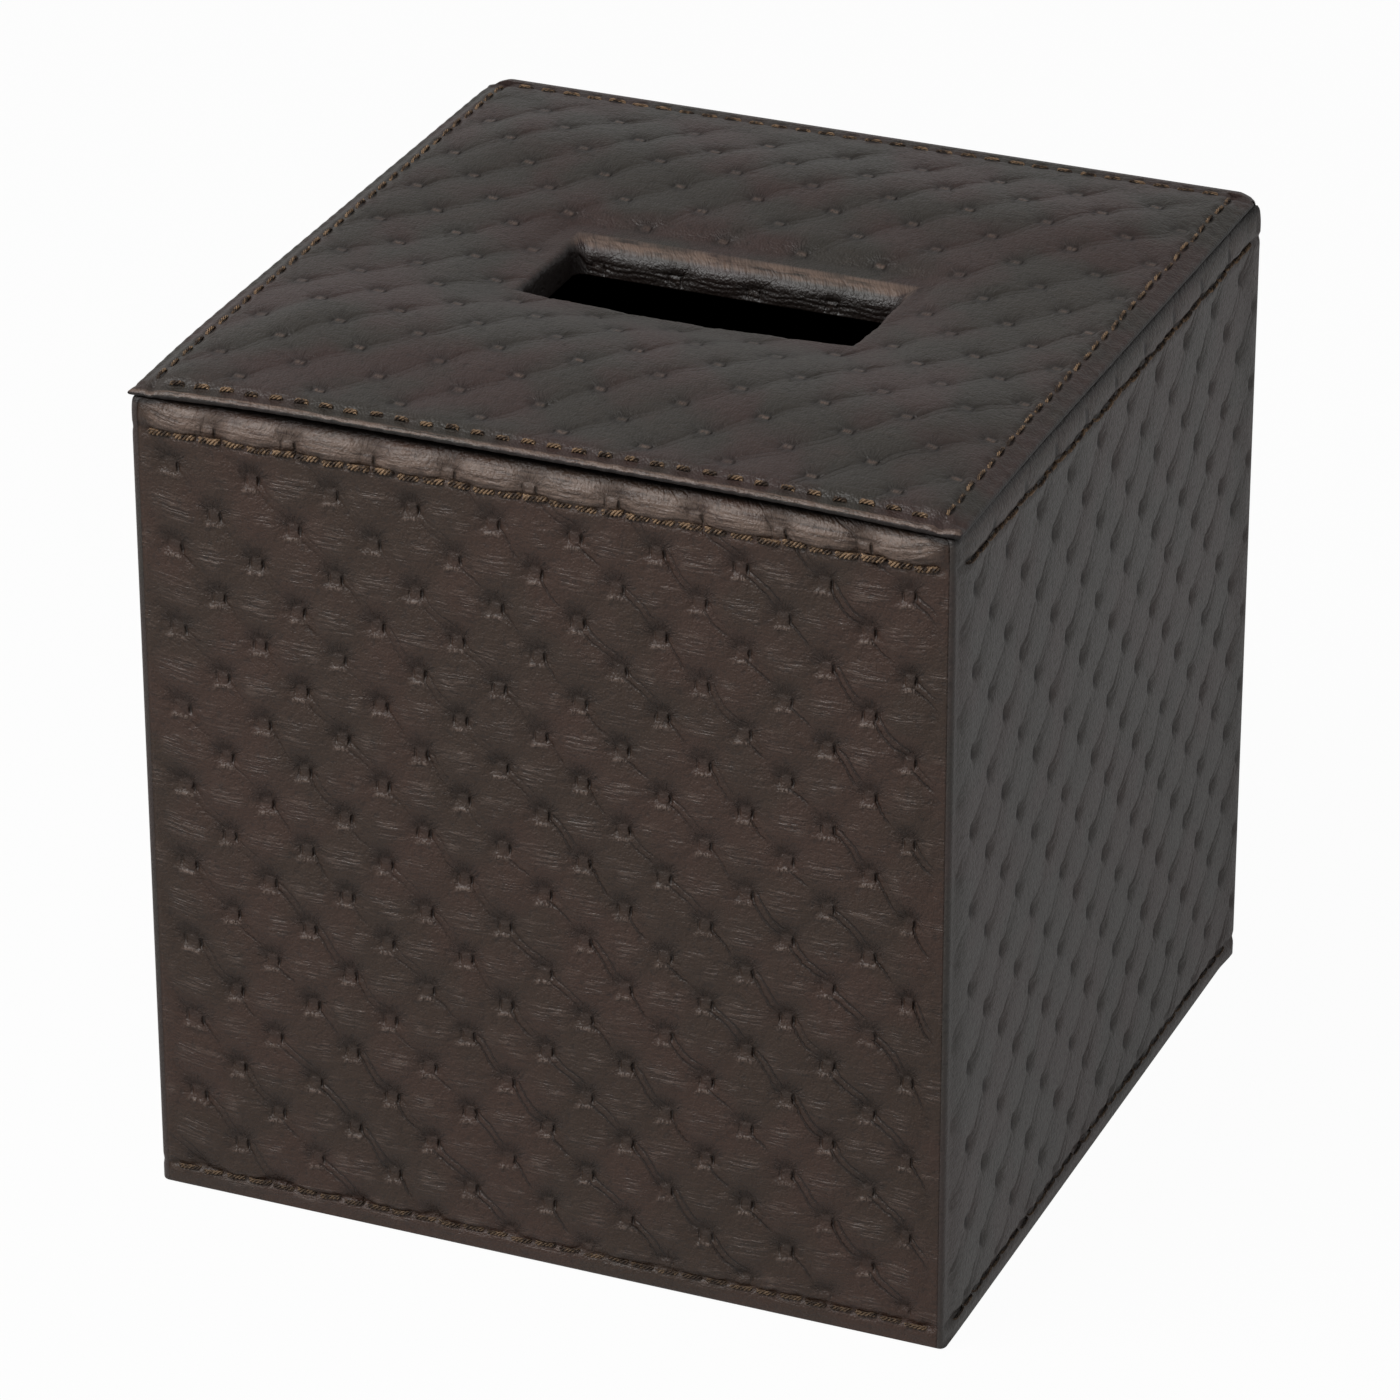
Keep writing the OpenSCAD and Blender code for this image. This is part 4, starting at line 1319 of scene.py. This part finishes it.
def sewLid(finish):
    piece = Piece("lid_stitching")
    random = np.random.RandomState(13)
    low = lidLow[1] + lid["stitchFront"]
    high = lidHigh[1] - lid["stitchRear"]
    side = lidHigh[0] - lid["stitchSide"]
    points = [(-side, low, lidTop), (side, low, lidTop), (side, high, lidTop), (-side, high, lidTop)]
    for start, end, (thick, share) in zip(points, points[1:] + points[:1], lidRows.values()):
        stitchRun(piece, start, end, (0, 0, 1), onLid, random, thick, lidRowTilt, share)
    made = piece.make(finish, "lid")
    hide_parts("lid_stitching")


leatherLook = {
    "brown": (0.0355, 0.0182, 0.0098, 1),
    "warm": (0.0450, 0.0208, 0.0122, 1),
    # The sides and the lid are the same leather as the front in paler and greyer tones: painted sheen
    "pale": (0.0395, 0.0325, 0.0275, 1),
    "duskySheen": (0.0440, 0.0300, 0.0260, 1),
    "greySheen": (0.0315, 0.0265, 0.0212, 1),
    "red": (0.0405, 0.0235, 0.0200, 1),
    # Light tones of painted highlight; the deep tone below is painted shade, and also the leather's own
    # dark specks
    "paintedLight": (0.125, 0.085, 0.066, 1),
    "paintedRollHighlight": (0.15, 0.102, 0.078, 1),
    "deep": (0.0065, 0.0036, 0.0026, 1),
    "roughness": (0.34, 0.54),
    "grainSize": 2.4,  # cells to a millimetre
    "creaseApart": 9.68,  # millimetres between the lines that the creases follow
    # Relief in millimetres
    "slotDepth": 0.34,
    "creaseDepth": 0.22,
    "lipRise": 0.14,
    "tagRise": 0.1,
    "fanRise": 0.6,
    "linesRise": 0.20,
    "foldRise": 0.33,
    "grainDepth": 0.09,
    # How much of the deep tone each takes on as painted shade (the specks are the leather's own dark
    # flecks), and how much of the light tone each takes on as painted highlight
    "shadeSlot": 0.8,
    "shadeFan": 0.8,
    "shadeFold": 0.5,
    "shadeRing": 0.55,
    "shadeCrease": 0.85,
    "darkSpeck": 0.45,
    "darkest": 0.9,
    "highlightStreak": 0.55,
    "highlightLip": 0.9,
    "highlightTag": 0.8,
    # How strongly each part of the leather shows its tufts; shade and the dimple spots are painted shade
    # only
    "front": {"slot": 1.0, "lip": 1.0, "fan": 0.9, "shade": 0.4, "lines": 1.0, "tag": 0.0, "dimpleShade": 0.0,
              "fold": 1.0, "crease": 1.0, "lean": 0.5, "tones": ("brown", "warm")},
    "side": {"slot": 0.0, "lip": 0.0, "fan": 0.2, "shade": 0.0, "lines": 0.0, "tag": 0.0, "dimpleShade": 0.95,
             "fold": 0.6, "crease": 0.35, "lean": -0.5, "tones": ("pale", "duskySheen")},
    "lid": {"slot": 0.6, "lip": 0.0, "fan": 0.45, "shade": 0.2, "lines": 0.15, "tag": 1.0, "dimpleShade": 0.0,
            "fold": 0.65, "crease": 0.8, "lean": -0.5, "tones": ("greySheen", "red")},
}


def leatherFinish(name, part):
    look = leatherLook
    style = look[part]
    f = Finish(name, Specular_IOR_Level=0.5)
    place = f.quiltPlace()
    u, v = f.part(place, "X"), f.part(place, "Y")
    pressed = f.add("ShaderNodeUVMap", {"uv_map": "press"}, {})
    press, highlightShadeMask = f.part(pressed, "X"), f.part(pressed, "Y")
    row = v.math("ROUND")
    shift = row.math("FLOORED_MODULO", 2.0) * 0.5
    column = (u - shift).math("ROUND")
    flat = f.vector(u * quilt["pitch"], v * quilt["wallRow"])
    # Each tuft is a little off its place, and some are fainter
    share = f.scatter(row, column)
    other = f.scatter(column, row)
    wander = f.noise(flat, 0.9, detail=1.0)
    du = (u - shift - column) * quilt["pitch"] + (wander - 0.5) * 0.5
    dv = (v - row) * quilt["wallRow"] + (share - 0.5) * 0.2
    radius = (du * du + dv * dv) ** 0.5

    # Slots at the sides of a tuft and the lip under it; painted shade in the slots and a painted highlight
    # on the lip
    fine = f.noise(f.stretched(flat, (2.6, 0.7, 1.0)), 1.0)
    off = abs(abs(du) - quilt["slotPlace"])
    rightSide = other * 0.7 + f.smooth(du, -0.3, 0.3) * (1 - other * 0.6)
    slot = (1 - f.smooth(off, 0.03, 0.36)) * (1 - f.smooth(abs(dv - 0.05), 0.35, 1.1))
    slot = slot * rightSide * press * style["slot"]
    lip = 1 - f.smooth(abs(dv + 1.5 + du * du * quilt["lipCurve"]), 0.1, 0.5)
    lip = lip * (1 - f.smooth(abs(du + 0.2), 0.8, 1.7)) * f.smooth(fine, 0.36, 0.56) * press * style["lip"]
    # On the lid each tuft has a small tag with a painted highlight, and painted shade in a ring round it
    tag = (1 - f.smooth(abs(dv - 0.2 + du * 0.2), 0.15, 0.65)) * (1 - f.smooth(abs(du), 0.45, 1.1))
    tag = tag * f.smooth(fine, 0.3, 0.55) * (0.3 + other) * press * style["tag"]
    ring = f.smooth(radius, 0.5, 1.1) * (1 - f.smooth(radius, 1.2, 2.6)) * press * style["tag"]
    # Fans of fine folds round a tuft, most of them above it, with painted shade in them and over the tuft's
    # upper side
    turn = dv.math("ARCTAN2", du)
    fan = f.noise(f.vector(turn * 4.2, radius * 0.3, share * 20), 1.7, detail=3.0, rough=0.62)
    above = 0.12 + 0.88 * f.smooth(dv, -0.1, 1.4)
    nearTuft = f.smooth(radius, 0.8, 1.6) * (1 - f.smooth(radius, 2.2, 4.6)) * above * press * style["fan"]
    shade = f.smooth(dv, -0.6, 0.9) * (1 - f.smooth(dv, 1.6, 4.4))
    shade = shade * (1 - f.smooth(abs(du) - dv * 0.5, 0.6, 2.4)) * press * style["shade"]
    # Fine lines that run along the rows over the crown between two tufts, some with a painted highlight
    # along them
    crownPart = f.smooth(abs(du), 2.2, 4.8) * (1 - f.smooth(abs(dv), 1.0, 3.2)) * style["lines"]
    grouped = f.smooth(f.noise(flat, 0.22, detail=1.0), 0.36, 0.6)
    lines = f.noise(f.vector(u * 2.4, v * 15.5 + wander * 0.8), 1.0)
    # Sharp creases from tuft to tuft along the lean, some of them double, with painted shade in them
    along = u + v * style["lean"]
    across = u - v * style["lean"]
    line = along.math("ROUND")
    step = across.math("FLOOR")
    reach = across - step
    strong = f.scatter(line, step)
    bend = bendPhase(reach, line, step).math("SINE") * quilt["bend"]
    aside = (along - line) * look["creaseApart"] + bend + (f.noise(flat, 0.6) - 0.5) * 0.7
    creased = 1 - f.smooth(abs(aside), 0.05, 0.34)
    second = (1 - f.smooth(abs(aside - quilt["creaseBeside"]), 0.05, 0.34)) * f.smooth(strong, 0.35, 0.55)
    creased = creased.math("MAXIMUM", second)
    creased = creased * (1 - f.smooth(reach, 0.35 + strong * 0.5, 0.6 + strong * 0.4))
    creased = creased * f.smooth(reach, 0.05, 0.14)
    where = f.smooth(u * 0.045 - v * 0.022 + f.noise(flat, 0.03, detail=1.0), 0.35, 0.9)
    creased = creased * (0.2 + where * 0.65) * press * style["crease"]
    folds = f.noise(flat, 0.7, detail=4.0, rough=0.66)
    specks = f.noise(flat, 3.2, rough=0.6)
    grain = f.add("ShaderNodeTexVoronoi", {"feature": "F1"}, {"Vector": flat, "Scale": look["grainSize"]})
    height = (
        slot * -look["slotDepth"]
        - creased * look["creaseDepth"]
        + lip * look["lipRise"]
        + tag * look["tagRise"]
        + (fan - 0.5) * nearTuft * look["fanRise"]
        + (lines - 0.5) * (crownPart * (grouped * 1.6 + 0.6)) * look["linesRise"]
        + (folds - 0.5) * look["foldRise"] * style["fold"]
        + grain * -look["grainDepth"]
    )
    f.relief(height)

    patches = f.smooth(f.noise(flat, 0.05, detail=2.5), 0.42, 0.60)
    base = f.mix(patches, look[style["tones"][0]], look[style["tones"][1]])
    # Painted highlight in streaks on the rolls and beads
    streaky = f.noise(f.vector(u * 2.0, v * 13.0), 1.0, detail=3.0, rough=0.6)
    base = f.mix(highlightShadeMask * f.smooth(streaky, 0.30, 0.60), base, look["paintedRollHighlight"])
    # Painted highlight on the crown's lines, on the lips and on the tags
    streak = crownPart * grouped * f.smooth(lines, 0.50, 0.60)
    paintedLight = streak * look["highlightStreak"] + lip * look["highlightLip"] + tag * look["highlightTag"]
    base = f.mix(paintedLight, base, look["paintedLight"])
    # Painted shade in the dimples of the sides
    dimpleShade = (1 - f.smooth((du - 0.2) * (du - 0.2) + dv * dv * 0.45, 0.1, 1.5)) * press * style["dimpleShade"]
    # Painted shade in the slots, in the fans and above the tufts, in the folds, dimples and rings, under
    # the lid and in the creases; the specks are the leather's own dark flecks
    dark = slot * look["shadeSlot"]
    for deeper in (
        nearTuft * f.smooth(0.5 - fan, 0.02, 0.16) * look["shadeFan"],
        shade,
        f.smooth(0.47 - folds, 0.0, 0.14) * look["shadeFold"],
        dimpleShade,
        ring * look["shadeRing"],
        -highlightShadeMask,
        creased * look["shadeCrease"],
        f.smooth(0.47 - specks, 0.0, 0.16) * look["darkSpeck"],
    ):
        dark = dark.math("MAXIMUM", deeper)
    f.into("Base Color", f.mix(dark * look["darkest"], base, look["deep"]))
    low, high = look["roughness"]
    mottle = f.noise(flat, 1.6, detail=3.0)
    polished = f.smooth(-highlightShadeMask, 0.2, 1.0) * press * 0.7  # where the slot's wall is pressed smooth
    f.into("Roughness", low + (high - low) * (mottle * 1.3 + dark * 0.6 - streak * 0.3 - polished))
    return f


def tinted(colour, tone):
    return tuple(c * tone for c in colour[:3]) + (1,)


threadLook = {
    "tan": (0.25, 0.16, 0.092, 1),
    "dark": (0.035, 0.02, 0.012, 1),
    "roughness": 0.5,
    "soiling": 700.0,  # patches to a metre
    "fibreRise": 0.12,
}


def threadFinish(name, tone):
    look = threadLook
    f = Finish(name, Roughness=look["roughness"], Specular_IOR_Level=0.4)
    place = f.quiltPlace()
    soiled = f.noise(f.solidPlace(), look["soiling"], detail=3.0, rough=0.6)
    fibre = f.noise(f.stretched(place, (1.5, 6.0, 1.0)), 1.0, detail=3.0)
    clean = f.smooth(soiled * 0.75 + fibre * 0.25, 0.42, 0.58)
    f.into("Base Color", f.mix(clean, look["dark"], tinted(look["tan"], tone)))
    f.relief((fibre - 0.5) * look["fibreRise"])
    return f


boardLook = {
    "fibre": (0.30, 0.185, 0.10, 1),
    "dark": (0.17, 0.095, 0.05, 1),
    "roughness": (0.62, 0.25),  # lowest, and what the fibres add
    "fibreSize": 1400.0,
    "cloudSize": 60.0,
    "fibreRise": 0.1,
}


def boardFinish():
    look = boardLook
    f = Finish("woodFibreboard", Specular_IOR_Level=0.3)
    where = f.solidPlace()
    fibres = f.noise(where, look["fibreSize"], detail=4.0, rough=0.7)
    clouds = f.noise(where, look["cloudSize"], detail=3.0)
    pale = f.smooth(fibres * 0.7 + clouds * 0.3, 0.38, 0.62)
    f.into("Base Color", f.mix(pale, look["dark"], look["fibre"]))
    f.into("Roughness", look["roughness"][0] + fibres * look["roughness"][1])
    f.relief((fibres - 0.5) * look["fibreRise"])
    return f


# Short pile: fine tufts of fibre with a soft sheen
velourLook = {"tone": (0.006, 0.006, 0.007, 1), "sheen": 0.05, "size": 2400.0, "rise": 0.25}
feltLook = {"tone": (0.011, 0.011, 0.012, 1), "sheen": 0.1, "size": 1100.0, "rise": 0.4}


def pileFinish(name, look):
    f = Finish(name, Specular_IOR_Level=0.2, Sheen_Weight=look["sheen"], Sheen_Roughness=0.4)
    where = f.solidPlace()
    pile = f.noise(where, look["size"], detail=3.0, rough=0.7)
    brushed = f.noise(f.stretched(where, (1.0, 1.0, 7.0)), 55.0, detail=3.0)
    lit = f.smooth(pile * 0.6 + brushed * 0.4, 0.35, 0.65)
    f.into("Base Color", f.mix(lit, tinted(look["tone"], 0.45), look["tone"]))
    f.into("Roughness", 0.8 + pile * 0.2)
    f.relief((pile - 0.5) * look["rise"] + (brushed - 0.5) * look["rise"])
    return f


platingLook = {
    "dull": (0.58, 0.56, 0.53, 1),
    "bright": (0.70, 0.69, 0.68, 1),
    "roughness": (0.22, 0.18),  # lowest, and what the brushing adds
    "brushRise": 0.01,
}


def platingFinish():
    look = platingLook
    f = Finish("nickelPlating", Metallic=1.0)
    where = f.solidPlace()
    brushed = f.noise(f.stretched(where, (0.05, 1.0, 1.0)), 2600.0, detail=3.0)
    clouds = f.noise(where, 180.0, detail=3.0)
    f.into("Base Color", f.mix(clouds, look["dull"], look["bright"]))
    f.into("Roughness", look["roughness"][0] + brushed * look["roughness"][1])
    f.relief((brushed - 0.5) * look["brushRise"])
    return f


def dress(nodes, finish):
    for node in nodes:
        made = bpy.data.objects[node]
        made.data.materials.clear()
        made.data.materials.append(finish.material)


leather = leatherFinish("brownLeather", "front")
# The sides and the lid get copies of the leather in paler, greyer tones: painted sheen
sideLeatherPaintedSheen = leatherFinish("brownLeatherSidesPaintedSheen", "side")
lidLeatherPaintedSheen = leatherFinish("brownLeatherLidPaintedSheen", "lid")
thread = threadFinish("tanThread", 1.35)
darkThread = threadFinish("darkTanThread", 0.7)
board = boardFinish()
velour = pileFinish("blackVelour", velourLook)
felt = pileFinish("blackFelt", feltLook)
plating = platingFinish()
dress(("front_board", "rear_board", "left_board", "right_board", "base_board"), board)
dress(("front_lining", "rear_lining", "left_lining", "right_lining", "base_lining", "lid_lining"), velour)
dress(("base_felt",), felt)
dress(("rim_magnets",), plating)
print("leather, thread, board, cloth and metal mixed")
makeWall("front_cover", 0, leather, 0.7)
makeWall("right_cover", 1, sideLeatherPaintedSheen, 1.9)
makeWall("rear_cover", 2, leather, 3.1)
makeWall("left_cover", 3, sideLeatherPaintedSheen, 4.4)
print("walls covered")
makeLidCover(lidLeatherPaintedSheen)
makeLidBoards(board)
makeKeepers(plating)
makeHinge(lidLeatherPaintedSheen)
print("lid covered and hinged")
sewWalls("body_top_stitching", thread)
sewWalls("body_foot_stitching", darkThread)
sewLid(thread)
print("stitches sewn")
